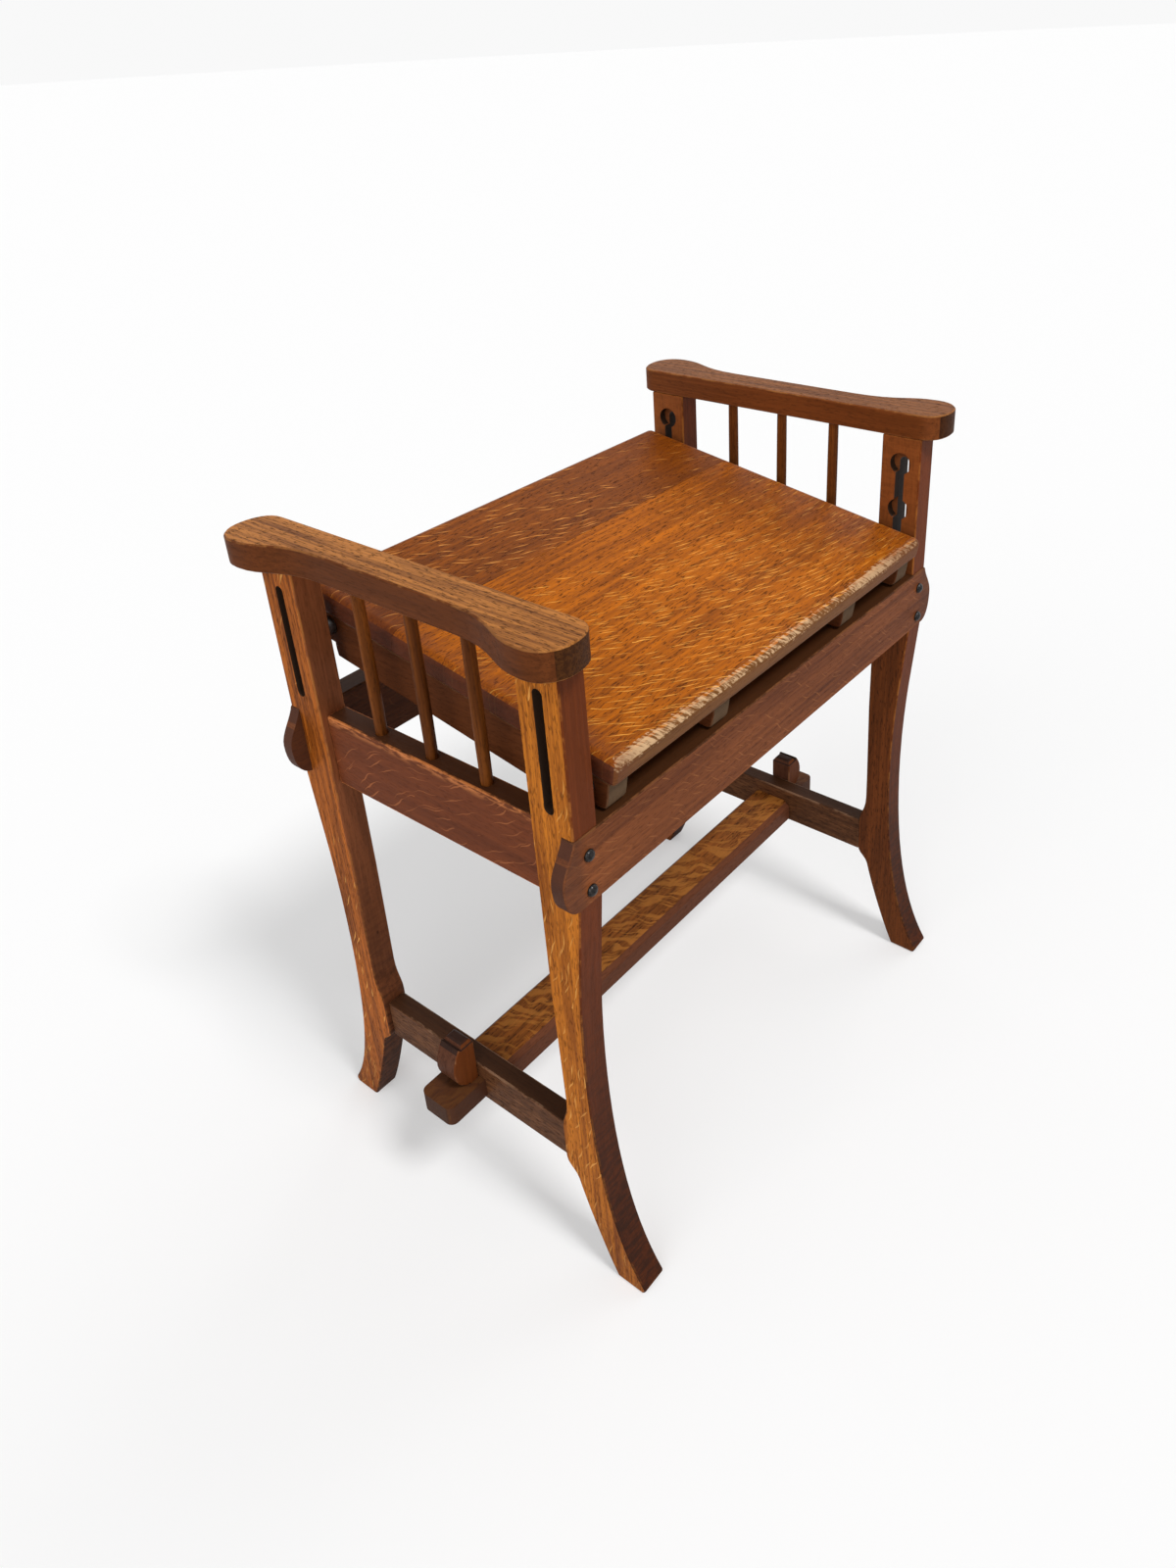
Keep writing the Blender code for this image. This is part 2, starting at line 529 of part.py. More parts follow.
# Wedges: flat against the lower rail, leaf-shaped above the tenon, with a tongue driven through it
leaf_z = REST_TOP_Z + GAP
for side, x in (("left", -1), ("right", 1)):
    top_z = REST_TOP_Z + WEDGE_RISE[side]
    belly_z = leaf_z + 0.42 * (top_z - leaf_z)
    neck = (wedge_x + WEDGE_NECK, leaf_z)
    belly = (wedge_x + WEDGE_BELLY, belly_z)
    head = (wedge_x + WEDGE_HEAD, top_z)
    wedge_line = [(wedge_x, WEDGE_LOW_Z), (wedge_x + WEDGE_FOOT, WEDGE_LOW_Z), (wedge_x + WEDGE_TONGUE, leaf_z),
                  neck]
    wedge_line += bend(neck, (neck[0] + 0.75 * (belly[0] - neck[0]), leaf_z + 0.15 * (belly_z - leaf_z)),
                       (belly[0], belly_z - 0.5 * (belly_z - leaf_z)), belly, 6)
    wedge_line += bend(belly, (belly[0], belly_z + 0.4 * (top_z - belly_z)),
                       (head[0] + 0.5 * (belly[0] - head[0]), belly_z + 0.8 * (top_z - belly_z)), head, 6)
    wedge_line += [(wedge_x, top_z)]
    wedge_mesh = plate(wedge_line, WEDGE_WIDE, Matrix.Translation((0, REST_Y, 0)) @ ALONG_Y)
    part(side + "_wedge", reflected(wedge_mesh, x), RAIL_OAK, 0.45, soft=WEDGE_SOFT, rounds=1)

# Front and back rails: full thickness between the posts, lapped into them and held there by two studs at each
# end, with rounded ears past them
ear_x = POST_OUT_X + EAR_OUT
ear_z = RAIL_TOP_Z - 0.53 * RAIL_HIGH
ear_half = [(POST_OUT_X, RAIL_LOW_Z)]
ear_half += bend((POST_OUT_X, RAIL_LOW_Z), (POST_OUT_X + 0.72 * EAR_OUT, RAIL_LOW_Z + 0.03 * RAIL_HIGH),
                 (ear_x, ear_z - 0.26 * RAIL_HIGH), (ear_x, ear_z), 8)
ear_half += bend((ear_x, ear_z), (ear_x, ear_z + 0.19 * RAIL_HIGH),
                 (POST_OUT_X + 0.2 * EAR_OUT, RAIL_TOP_Z - 0.18 * RAIL_HIGH), (POST_OUT_X, RAIL_TOP_Z), 8)
rail_line = ear_half + [(-x, z) for x, z in reversed(ear_half)]
rail_mid_y = (RAIL_OUT_Y + RAIL_IN_Y) / 2
rail_mesh = plate(rail_line, RAIL_THICK, Matrix.Translation((0, -rail_mid_y, 0)) @ ALONG_Y)
lap_cut = box((POST_IN_X - GAP, -LAP_IN_Y, RAIL_LOW_Z - CUT_OVER),
              (ear_x + CUT_OVER, -RAIL_IN_Y + CUT_OVER, RAIL_TOP_Z + CUT_OVER))
both_ends = joined(stud_cuts + [reflected(cut, -1) for cut in stud_cuts])
stud_r = STUD_D / 2
stud_seat = STUD_LONG + GAP
stud_line = [(0, 0), (STUD_SHANK_D / 2, 0), (STUD_SHANK_D / 2, stud_seat), (stud_r, stud_seat),
             (0.93 * stud_r, stud_seat + 0.45 * STUD_HIGH), (0.62 * stud_r, stud_seat + 0.85 * STUD_HIGH),
             (0, stud_seat + STUD_HIGH)]
for end, y in (("front", 1), ("back", -1)):
    rail = part(end + "_rail", reflected(rail_mesh, 1, y), RAIL_OAK, 0.42, soft=RAIL_SOFT, rounds=1)
    shape(rail, reflected(lap_cut, 1, y))
    shape(rail, reflected(lap_cut, -1, y))
    shape(rail, reflected(both_ends, 1, y))
    for side, x in (("left", -POST_MID_X), ("right", POST_MID_X)):
        for level, height in zip(("top", "low"), stud_heights):
            mesh = lathe(stud_line, turned_to((0, -y, 0), (x, -y * stud_end_y, height)), 14)
            part(end + "_" + side + "_" + level + "_stud", mesh, IRON, 0.4, 0.9)

# Pivot of the seat: the front rod's axis in the lowest holes
pivot = bpy.data.objects.new("seat_pivot", None)
pivot.location = (0, -POST_MID_Y, HOLE_LOW_Z)
pivot.rotation_euler = (SEAT_SLOPE, 0, 0)
parts.objects.link(pivot)


def seat_board(name, front, back, round_front, round_back):
    """A seat board about the pivot, rounded on its outer edges only."""
    mesh = box((-SEAT_HALF_X, front, SEAT_LOW), (SEAT_HALF_X, back, SEAT_OVER_ROD))
    built = bmesh.new()
    built.from_mesh(mesh)
    weight = built.edges.layers.float.new("bevel_weight_edge")
    for edge in built.edges:
        middle = (edge.verts[0].co + edge.verts[1].co) / 2
        at_side = abs(abs(middle.x) - SEAT_HALF_X) < 1e-6
        at_end = round_front and abs(middle.y - front) < 1e-6 or round_back and abs(middle.y - back) < 1e-6
        upper = middle.z > SEAT_OVER_ROD - 1e-6
        lower = middle.z < SEAT_LOW + 1e-6
        if upper and (at_side or at_end):
            edge[weight] = 1.0
        elif lower and (at_side or at_end):
            edge[weight] = 0.55
        elif at_side and at_end:
            edge[weight] = 0.6
    made = part(name, from_bmesh(built), SEAT_OAK, 0.38, parent=pivot)
    nose = made.modifiers.new("nose", "BEVEL")
    nose.width = SEAT_ROUND
    nose.segments = 5
    nose.limit_method = "WEIGHT"
    return made


# Seat boards: two wide boards glued edge to edge, with a rounded nosing all round
seam = POST_MID_Y + SEAT_SEAM_Y
boards = [seat_board("seat_front_board", SEAT_FRONT, seam - GAP / 2, True, False),
          seat_board("seat_back_board", seam + GAP / 2, POST_MID_Y + SEAT_HALF_Y, False, True)]

# Bearers: battens screwed up under the seat, stepped at their ends to pass over the rails
tip_y = BEARER_HALF_Y
step_out = RAIL_IN_Y - STEP_CLEAR
step_in = step_out - 0.10 * BEARER_DEEP
end_low = SEAT_LOW - BEARER_END_DEEP
bearer_top = SEAT_LOW - GAP
step_long = step_out - step_in
step_high = end_low - BEARER_LOW
bearer_half = [(POST_MID_Y - step_in, BEARER_LOW)]
bearer_half += bend((POST_MID_Y - step_in, BEARER_LOW), (POST_MID_Y - step_in - 0.35 * step_long, BEARER_LOW),
                    (POST_MID_Y - step_out + 0.1 * step_long, end_low - 0.3 * step_high),
                    (POST_MID_Y - step_out, end_low), 6)
bearer_half += bend((POST_MID_Y - step_out, end_low), (POST_MID_Y - tip_y, end_low),
                    (POST_MID_Y - tip_y, end_low), (POST_MID_Y - tip_y, end_low + 0.4 * BEARER_END_DEEP), 5)
bearer_half += [(POST_MID_Y - tip_y, bearer_top)]
bearer_line = bearer_half + [(2 * POST_MID_Y - y, z) for y, z in reversed(bearer_half)]
bearer_x = {"left_end_bearer": -BEARER_OUT_X + BEARER_WIDE / 2, "left_inner_bearer": INNER_BEARER_X[0],
            "right_inner_bearer": INNER_BEARER_X[1], "right_end_bearer": BEARER_OUT_X - BEARER_WIDE / 2}
screw_ys = (POST_MID_Y - SCREW_Y, POST_MID_Y + SCREW_Y)
screw_low = BEARER_LOW + SCREW_SINK
screw_line = [(0, 0), (SCREW_HEAD_D / 2, 0), (SCREW_HEAD_D / 2, SCREW_RIM), (SCREW_D / 2, SCREW_CONE),
              (SCREW_D / 2, SEAT_LOW + SCREW_BITE - screw_low), (0, SEAT_LOW + SCREW_BITE - screw_low)]
screw_foot = -SCREW_SINK - CUT_OVER
screw_cut = [(0, screw_foot), (SCREW_HEAD_D / 2 + GAP, screw_foot), (SCREW_HEAD_D / 2 + GAP, SCREW_RIM + GAP),
             (SCREW_D / 2 + GAP, SCREW_CONE + GAP), (SCREW_D / 2 + GAP, SEAT_LOW + SCREW_BITE - screw_low + GAP),
             (0, SEAT_LOW + SCREW_BITE - screw_low + GAP)]
for name, x in bearer_x.items():
    mesh = plate(bearer_line, BEARER_WIDE, Matrix.Translation((x, 0, 0)) @ ALONG_X)
    bearer = part(name, mesh, DARK_OAK, 0.5, parent=pivot, soft=0.0010, rounds=1)
    for y, diameter in RODS.values():
        bore = SLEEVE_D if "end" in name else diameter
        shape(bearer, rod_mesh((x - BEARER_WIDE, y, 0), (1, 0, 0), 2 * BEARER_WIDE, bore + 2 * RUN, 24))
    for end, y in zip(("front", "back"), screw_ys):
        place = Matrix.Translation((x, y, screw_low))
        shape(bearer, lathe(screw_cut, place, 12))
        part(name + "_" + end + "_screw", lathe(screw_line, place, 12), STEEL, 0.4, 0.9, parent=pivot)
for board, y in zip(boards, screw_ys):
    for x in bearer_x.values():
        shape(board, rod_mesh((x, y, SEAT_LOW - CUT_OVER), (0, 0, 1), SCREW_BITE + CUT_OVER + GAP,
                              SCREW_D + 2 * GAP, 12))

# Rods: a full-width pivot rod at the front and a guide rod at the back, collared at the inner bearers
left_face = INNER_BEARER_X[0] - BEARER_WIDE / 2 - GAP
right_face = INNER_BEARER_X[1] + BEARER_WIDE / 2 + GAP
for end, (y, diameter) in RODS.items():
    rod_r = diameter / 2
    collar_r = rod_r + COLLAR_PROUD
    rod_line = [(0, -ROD_HALF_X), (0.75 * rod_r, -ROD_HALF_X), (rod_r, -ROD_HALF_X + 0.25 * rod_r),
                (rod_r, left_face - COLLAR_LONG), (collar_r, left_face - COLLAR_LONG), (collar_r, left_face),
                (rod_r, left_face), (rod_r, right_face), (collar_r, right_face),
                (collar_r, right_face + COLLAR_LONG), (rod_r, right_face + COLLAR_LONG),
                (rod_r, ROD_HALF_X - 0.25 * rod_r), (0.75 * rod_r, ROD_HALF_X), (0, ROD_HALF_X)]
    part(end + "_rod", lathe(rod_line, turned_to((1, 0, 0), (0, y, 0)), 16), STEEL, 0.35, 0.95, parent=pivot)

# Sleeves: slide on the rods through the end bearers and plug the round holes, drawn clear here
sleeve_r = SLEEVE_D / 2
flange_r = FLANGE_D / 2
flange_x = FLANGE_FACE_X - FLANGE_LONG
flange_soft = 0.25 * FLANGE_LONG
sleeve_soft = 0.08 * SLEEVE_D
for end, (y, diameter) in RODS.items():
    inner_r = diameter / 2 + RUN
    sleeve_line = [(inner_r, flange_x), (flange_r - flange_soft, flange_x),
                   (flange_r, flange_x + flange_soft), (flange_r, FLANGE_FACE_X - flange_soft),
                   (flange_r - flange_soft, FLANGE_FACE_X),
                   (sleeve_r, FLANGE_FACE_X), (sleeve_r, SLEEVE_END_X - sleeve_soft),
                   (sleeve_r - sleeve_soft, SLEEVE_END_X), (inner_r, SLEEVE_END_X)]
    for side, x in (("left", -1), ("right", 1)):
        mesh = lathe(sleeve_line, turned_to((x, 0, 0), (0, y, 0)), 24, ring=True)
        part(end + "_" + side + "_sleeve", mesh, STEEL, 0.35, 0.95, parent=pivot)
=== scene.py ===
import math

import bmesh
import bpy
from mathutils import Matrix, Vector
from mathutils.bvhtree import BVHTree


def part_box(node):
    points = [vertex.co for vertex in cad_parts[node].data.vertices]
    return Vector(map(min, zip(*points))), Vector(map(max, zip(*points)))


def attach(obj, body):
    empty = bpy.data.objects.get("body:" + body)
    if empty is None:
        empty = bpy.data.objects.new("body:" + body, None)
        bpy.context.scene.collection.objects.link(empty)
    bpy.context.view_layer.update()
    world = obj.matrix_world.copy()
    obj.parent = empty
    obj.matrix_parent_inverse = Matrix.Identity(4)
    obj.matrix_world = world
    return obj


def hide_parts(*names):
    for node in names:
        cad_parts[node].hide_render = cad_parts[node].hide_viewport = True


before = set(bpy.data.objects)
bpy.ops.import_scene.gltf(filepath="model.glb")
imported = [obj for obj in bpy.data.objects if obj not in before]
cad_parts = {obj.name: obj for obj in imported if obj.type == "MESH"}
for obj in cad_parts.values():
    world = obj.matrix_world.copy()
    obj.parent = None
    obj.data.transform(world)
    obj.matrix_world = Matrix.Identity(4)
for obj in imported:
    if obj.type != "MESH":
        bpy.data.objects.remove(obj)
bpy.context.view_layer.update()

# Legs: four sabre legs sawn from quartered oak, each running up as a post with a slot and three round holes.
# The broad faces show the oak's ray fleck, and the sawn edges are plain and stained darker.
# Two tenons tie each one to the side rails, and its top is tenoned into the arm.
MERGE = 0.000002  # corners closer than this are one
FLAT = math.radians(0.6)  # faces that turn less than this are one
SOFT_WIDE = 0.0032  # a softened arris is no wider
SOFT_TURN = (math.radians(20), math.radians(65))  # and slants so far from its neighbours
LONG_SIDE = 0.4  # share of the longest side that makes a side long
HOLLOW_SKIN = 0.0002  # a look out of a face starts so far off it
HOLLOW_REACH = 0.025  # and goes so far
HOLLOW_SLANT = 2.2  # the four looks aside lean by this much
SMOOTH_SOFT = math.radians(80)  # turn that is shaded smooth at a softened arris
SMOOTH_PLAIN = math.radians(32)  # and at any other face
EDGE_TURN = 0.6  # how squarely a sawn edge looks along its axis
INNER_TURN = 0.7  # the same for an inner face
END_TURN = 0.85  # and for end grain
NOSING_TURN = (0.74, 0.92)  # where the nosing's wear starts and is full


def placed(name, data):
    """An object made from its data and put in the scene."""
    made = bpy.data.objects.new(name, data)
    bpy.context.scene.collection.objects.link(made)
    return made


def facing(face, axis):
    """How squarely a face looks along an axis, nothing without one."""
    return face.normal.dot(Vector(axis)) if axis else 0.0


def softened(face):
    """True for the narrow face of a softened arris: it slants from its neighbours on both long sides."""
    longest = max(edge.calc_length() for edge in face.edges)
    if face.calc_area() > SOFT_WIDE * longest:
        return False
    slants = 0
    for edge in face.edges:
        if len(edge.link_faces) == 2 and edge.calc_length() > LONG_SIDE * longest:
            slants += SOFT_TURN[0] < edge.calc_face_angle() < SOFT_TURN[1]
    return slants >= 2


def hollowed(face, solid):
    """True where the solid itself stands close in front of a face, or close on four sides of the way out."""
    start = face.calc_center_median() + face.normal * HOLLOW_SKIN
    aside = face.normal.orthogonal().normalized() * HOLLOW_SLANT
    over = face.normal.cross(aside)
    ways = (face.normal, *(face.normal + slant for slant in (aside, over, -aside, -over)))
    hits = [solid.ray_cast(start, way, HOLLOW_REACH)[0] is not None for way in ways]
    return hits[0] or all(hits[1:])


def corner_normal(face, vertex, soft):
    """The way a face looks at one corner, taken from the broad faces there that turn little from it."""
    limit = math.cos(SMOOTH_SOFT if soft[face.index] else SMOOTH_PLAIN)
    total = Vector()
    for other in vertex.link_faces:
        if not soft[other.index] and other.normal.dot(face.normal) > limit:
            total += other.normal * other.calc_area()
    return total.normalized() if total.length > 0 else face.normal.copy()


def dressed(node, name, edge_axis=None, grain_axis=None, inner=None, nosing=None, shaped=None,
            end_turn=END_TURN):
    """A copy of a CAD node, merged and smooth over its arrises, with its kinds of surface written on it.

    Rub is 1 on softened arrises and the nosing, edge on sawn edges, end on end grain, inner on the face that
    looks into the stool, which gets painted shade, hollow inside holes, slots and mortises, which are filled
    with painted shade. Shaped carves the merged copy first.
    """
    built = bmesh.new()
    built.from_mesh(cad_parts[node].data)
    bmesh.ops.remove_doubles(built, verts=built.verts, dist=MERGE)
    bmesh.ops.dissolve_limit(built, angle_limit=FLAT, verts=built.verts, edges=built.edges)
    if shaped:
        shaped(built)
    built.normal_update()
    solid = BVHTree.FromBMesh(built)
    built.faces.index_update()
    source = built.faces.layers.int.new("source")
    soft = [softened(face) for face in built.faces]
    kinds = {kind: [] for kind in ("rub", "edge", "end", "inner", "hollow")}
    turned = {}
    for face in built.faces:
        face[source] = face.index
        ended = abs(facing(face, grain_axis)) > end_turn
        rounded = (facing(face, nosing) - NOSING_TURN[0]) / (NOSING_TURN[1] - NOSING_TURN[0])
        rubbed = 1.0 if soft[face.index] else min(1.0, max(0.0, rounded))
        kinds["rub"].append(0.0 if ended else rubbed)
        kinds["edge"].append(float(abs(facing(face, edge_axis)) > EDGE_TURN))
        kinds["end"].append(float(ended))
        kinds["inner"].append(float(facing(face, inner) > INNER_TURN))
        kinds["hollow"].append(float(hollowed(face, solid)))
        for loop in face.loops:
            turned[face.index, loop.vert.index] = corner_normal(face, loop.vert, soft)
    bmesh.ops.triangulate(built, faces=built.faces)
    sources = [face[source] for face in built.faces]
    normals = [turned[face[source], loop.vert.index] for face in built.faces for loop in face.loops]
    mesh = bpy.data.meshes.new(name)
    built.to_mesh(mesh)
    built.free()
    mesh.attributes.remove(mesh.attributes["source"])
    for kind, shares in kinds.items():
        values = [shares[index] for index in sources]
        mesh.attributes.new(kind, "FLOAT", "FACE").data.foreach_set("value", values)
    mesh.shade_smooth()
    mesh.normals_split_custom_set(normals)
    return placed(name, mesh)


def add(tree, kind, links=None, **settings):
    """A node with its settings made and its sockets linked or filled."""
    node = tree.nodes.new(kind)
    for key, value in settings.items():
        setattr(node, key, value)
    for key, value in (links or {}).items():
        socket = node.inputs[key]
        if isinstance(value, bpy.types.NodeSocket):
            tree.links.new(value, socket)
        else:
            socket.default_value = value
    return node


def sums(tree, operation, *values):
    """The output of one Math node."""
    return add(tree, "ShaderNodeMath", dict(enumerate(values)), operation=operation).outputs[0]


def vectors(tree, operation, *values):
    """The output of one Vector Math node."""
    return add(tree, "ShaderNodeVectorMath", dict(enumerate(values)), operation=operation).outputs[0]


def scaled(tree, vector, share):
    """A vector made longer or shorter."""
    return add(tree, "ShaderNodeVectorMath", {0: vector, "Scale": share}, operation="SCALE").outputs[0]


def ramp(tree, value, low, high):
    """Zero below low, one above high, smooth between."""
    return add(tree, "ShaderNodeMapRange", {"Value": value, "From Min": low, "From Max": high},
               interpolation_type="SMOOTHSTEP").outputs["Result"]


def mixed(tree, share, first, second):
    """A colour between two, by the second one's share."""
    return add(tree, "ShaderNodeMix", {0: share, 6: first, 7: second}, data_type="RGBA").outputs[2]


def speckle(tree, where, rate, detail, rough=0.5):
    """A noise with so many lumps a metre along each axis."""
    return add(tree, "ShaderNodeTexNoise", {"Vector": vectors(tree, "MULTIPLY", where, rate), "Scale": 1.0,
                                            "Detail": detail, "Roughness": rough}).outputs


def place_in_piece(tree):
    """The place on a piece, in metres along the shared axes."""
    return add(tree, "ShaderNodeTexCoord").outputs["Object"]


def kind_share(tree, kind):
    """How far a face is of one kind of surface."""
    return add(tree, "ShaderNodeAttribute", attribute_name=kind).outputs["Fac"]


def group_with(name, inputs, outputs):
    """An empty shader group that takes a place in metres and numbers, and puts out values."""
    tree = bpy.data.node_groups.new(name, "ShaderNodeTree")
    tree.interface.new_socket("Vector", in_out="INPUT", socket_type="NodeSocketVector")
    for key in inputs:
        tree.interface.new_socket(key, in_out="INPUT", socket_type="NodeSocketFloat")
    for key in outputs:
        tree.interface.new_socket(key, in_out="OUTPUT", socket_type="NodeSocketFloat")
    return tree, tree.nodes.new("NodeGroupInput").outputs, tree.nodes.new("NodeGroupOutput").inputs


DRIFT_RATE = (6, 30, 30)  # lumps a metre in the fibres' waviness
DRIFT_REACH = (0.004, 0.004, 0.004)  # and how far it moves them
DENT_RATE = (26, 38, 38)
DENT_ODDS = 0.82  # share of places without a dent
DENT_SIZE = 0.34
DENT_RIM = 0.012


def grain_group():
    """Fibres, growth bands, open pores, slow tone and old dents, with X along the grain and Z into the face.

    Each of the first four is a noise with its lumps a metre, detail, roughness, and start and full levels.
    """
    tree, given, shown = group_with("oak_grain", (), ("Fibre", "Band", "Pore", "Tone", "Dent"))
    where = given["Vector"]
    drift = vectors(tree, "MULTIPLY", speckle(tree, where, DRIFT_RATE, detail=2.0)["Color"], DRIFT_REACH)
    wavy = vectors(tree, "ADD", where, drift)
    for key, place, rate, detail, rough, start, full in (
            ("Fibre", wavy, (9, 330, 330), 5.0, 0.62, 0.36, 0.64),
            ("Band", wavy, (2.5, 70, 70), 3.0, 0.60, 0.34, 0.66),
            ("Pore", where, (140, 860, 860), 2.0, 0.50, 0.55, 0.64),
            ("Tone", where, (5, 9, 9), 2.0, 0.50, 0.30, 0.70)):
        tree.links.new(ramp(tree, speckle(tree, place, rate, detail, rough)["Fac"], start, full), shown[key])
    spread = vectors(tree, "MULTIPLY", wavy, DENT_RATE)
    knocks = add(tree, "ShaderNodeTexVoronoi", {"Vector": spread, "Scale": 1.0}).outputs
    chosen = add(tree, "ShaderNodeSeparateColor", {"Color": knocks["Color"]}).outputs["Red"]
    size = sums(tree, "MULTIPLY", sums(tree, "SUBTRACT", chosen, DENT_ODDS), DENT_SIZE)
    within = sums(tree, "SUBTRACT", size, knocks["Distance"])
    tree.links.new(ramp(tree, within, -DENT_RIM, DENT_RIM), shown["Dent"])
    return tree


FLECK_BENDS = ((45, 1.0), (9, 3.0))  # lumps a metre, and their share of the bend
FLECK_DEPTH = 12.0
FLECK_TAPER = 2.1
FLECK_RIM = 0.4
FLECK_PATCH = (10, 15, 10)
FLECK_CONTRAST = 2.2
FLECK_DULLEST = 0.4  # how much of the palest fleck's strength the dullest has
RIBBON_LEVELS = (0.47, 0.60)


def fleck_group():
    """Ray fleck: short bent dashes strewn over the face, and broad soft ribbons."""
    tree, given, shown = group_with("ray_fleck", ("Run", "Rise", "Turn", "Bend", "Thick", "Full"),
                                    ("Dash", "Ribbon"))
    where = given["Vector"]
    bent = where
    for lumps, share in FLECK_BENDS:
        drift = speckle(tree, where, (lumps, lumps, lumps), detail=1.0)["Color"]
        drift = vectors(tree, "SUBTRACT", drift, (0.5, 0.5, 0.5))
        swing = scaled(tree, drift, sums(tree, "MULTIPLY", given["Bend"], share))
        bent = vectors(tree, "ADD", bent, swing)
    turned = add(tree, "ShaderNodeVectorRotate", {"Vector": bent, "Angle": given["Turn"]},
                 rotation_type="Z_AXIS").outputs[0]
    rate = add(tree, "ShaderNodeCombineXYZ", {"X": given["Run"], "Y": given["Rise"],
                                              "Z": FLECK_DEPTH}).outputs[0]
    cells = vectors(tree, "MULTIPLY", turned, rate)
    strewn = add(tree, "ShaderNodeTexVoronoi", {"Vector": cells, "Scale": 1.0},
                 voronoi_dimensions="2D").outputs
    aside = vectors(tree, "ABSOLUTE", vectors(tree, "SUBTRACT", cells, strewn["Position"]))
    aside = add(tree, "ShaderNodeSeparateXYZ", {"Vector": aside}).outputs
    taper = sums(tree, "SUBTRACT", 1.0, sums(tree, "MULTIPLY", aside["X"], FLECK_TAPER))
    width = sums(tree, "MULTIPLY", taper, given["Thick"])
    near = sums(tree, "DIVIDE", sums(tree, "SUBTRACT", width, aside["Y"]), given["Thick"])
    dash = ramp(tree, near, 0.0, FLECK_RIM)
    chosen = add(tree, "ShaderNodeSeparateColor", {"Color": strewn["Color"]}).outputs
    patch = sums(tree, "SUBTRACT", speckle(tree, where, FLECK_PATCH, detail=2.0)["Fac"], 0.5)
    odds = sums(tree, "ADD", sums(tree, "MULTIPLY", patch, FLECK_CONTRAST), given["Full"])
    taken = sums(tree, "GREATER_THAN", odds, chosen["Red"])
    pale = sums(tree, "MULTIPLY_ADD", chosen["Green"], 1.0 - FLECK_DULLEST, FLECK_DULLEST)
    tree.links.new(sums(tree, "MULTIPLY", sums(tree, "MULTIPLY", dash, taken), pale), shown["Dash"])
    rays = add(tree, "ShaderNodeTexNoise", {"Vector": cells, "Scale": 1.0, "Detail": 2.0}).outputs["Fac"]
    tree.links.new(ramp(tree, rays, *RIBBON_LEVELS), shown["Ribbon"])
    return tree


RUB_AXIS = (0.0, -0.7, 0.7)
RUB_KNOCKS = (60, 120, 120)
RUB_PATCH = (16, 16, 16)
PATCH_SHARE = 0.4
KNOCK_MIDDLE = 0.45
RUB_SHARE = 0.25
RUB_LEAST = 0.01
RUB_LEVELS = (0.40, 0.60)


def rub_group():
    """Where hands and knocks have rubbed the stain off the arrises, broken up along their length.

    Slant turns the broken streaks across the arris, and draw says how much longer they are than wide.
    """
    tree, given, shown = group_with("rubbed_arris", ("Amount", "Grit", "Slant", "Draw"), ("Mask",))
    rub = kind_share(tree, "rub")
    turned = add(tree, "ShaderNodeVectorRotate", {"Vector": given["Vector"], "Axis": RUB_AXIS,
                                                  "Angle": given["Slant"]}).outputs[0]
    shorter = add(tree, "ShaderNodeCombineXYZ", {"X": sums(tree, "DIVIDE", 1.0, given["Draw"]), "Y": 1.0,
                                                 "Z": 1.0}).outputs[0]
    drawn = vectors(tree, "MULTIPLY", scaled(tree, turned, given["Grit"]), shorter)
    knocks = speckle(tree, drawn, RUB_KNOCKS, detail=4.0, rough=0.65)["Fac"]
    patch = speckle(tree, given["Vector"], RUB_PATCH, detail=2.0)["Fac"]
    held = sums(tree, "MULTIPLY_ADD", patch, PATCH_SHARE, sums(tree, "SUBTRACT", knocks, KNOCK_MIDDLE))
    held = sums(tree, "MULTIPLY_ADD", rub, RUB_SHARE, held)
    worn = sums(tree, "MULTIPLY", sums(tree, "GREATER_THAN", rub, RUB_LEAST), ramp(tree, held, *RUB_LEVELS))
    tree.links.new(sums(tree, "MULTIPLY", worn, given["Amount"]), shown["Mask"])
    return tree


def stain(red, green, blue):
    """A display colour, 0 to 255, as a linear one."""
    shares = (red / 255, green / 255, blue / 255)
    return (*(s / 12.92 if s <= 0.04045 else ((s + 0.055) / 1.055) ** 2.4 for s in shares), 1.0)


def toned(colour, share):
    """A colour made darker or lighter."""
    return (*(share * part for part in colour[:3]), 1.0)


def fresh_material(name):
    """A new material with its nodes and its shader."""
    material = bpy.data.materials.new(name)
    material.use_nodes = True
    return material, material.node_tree, material.node_tree.nodes["Principled BSDF"]


GRAIN = grain_group()
FLECK = fleck_group()
RUB = rub_group()
EDGE_TONES = (0.76, 1.20)
EDGE_PORES = 0.4  # share of the pores that shows on sawn edges
PORE_TONE = 0.30
DENT_TONE = 0.25
DENT_SHARE = 0.75
END_TONES = (0.8, 1.2)
END_SHARE = 0.9
# Painted shade on faces that look into the stool: how dark it is against the dark colour, and its share.
INNER_SHADE_TONE = 0.1
INNER_SHADE_SHARE = 0.55
# Painted shade inside holes, slots and mortises.
HOLLOW_SHADE = stain(60, 44, 34)
PORE_DULL = 0.25
RUB_DULL = 0.12
FIBRE_RELIEF = 0.35
RELIEF_STRENGTH = 0.35
RELIEF_DEPTH = 0.0004
WOOD_GLOSS = 0.06
COAT_ROUGH = 0.3


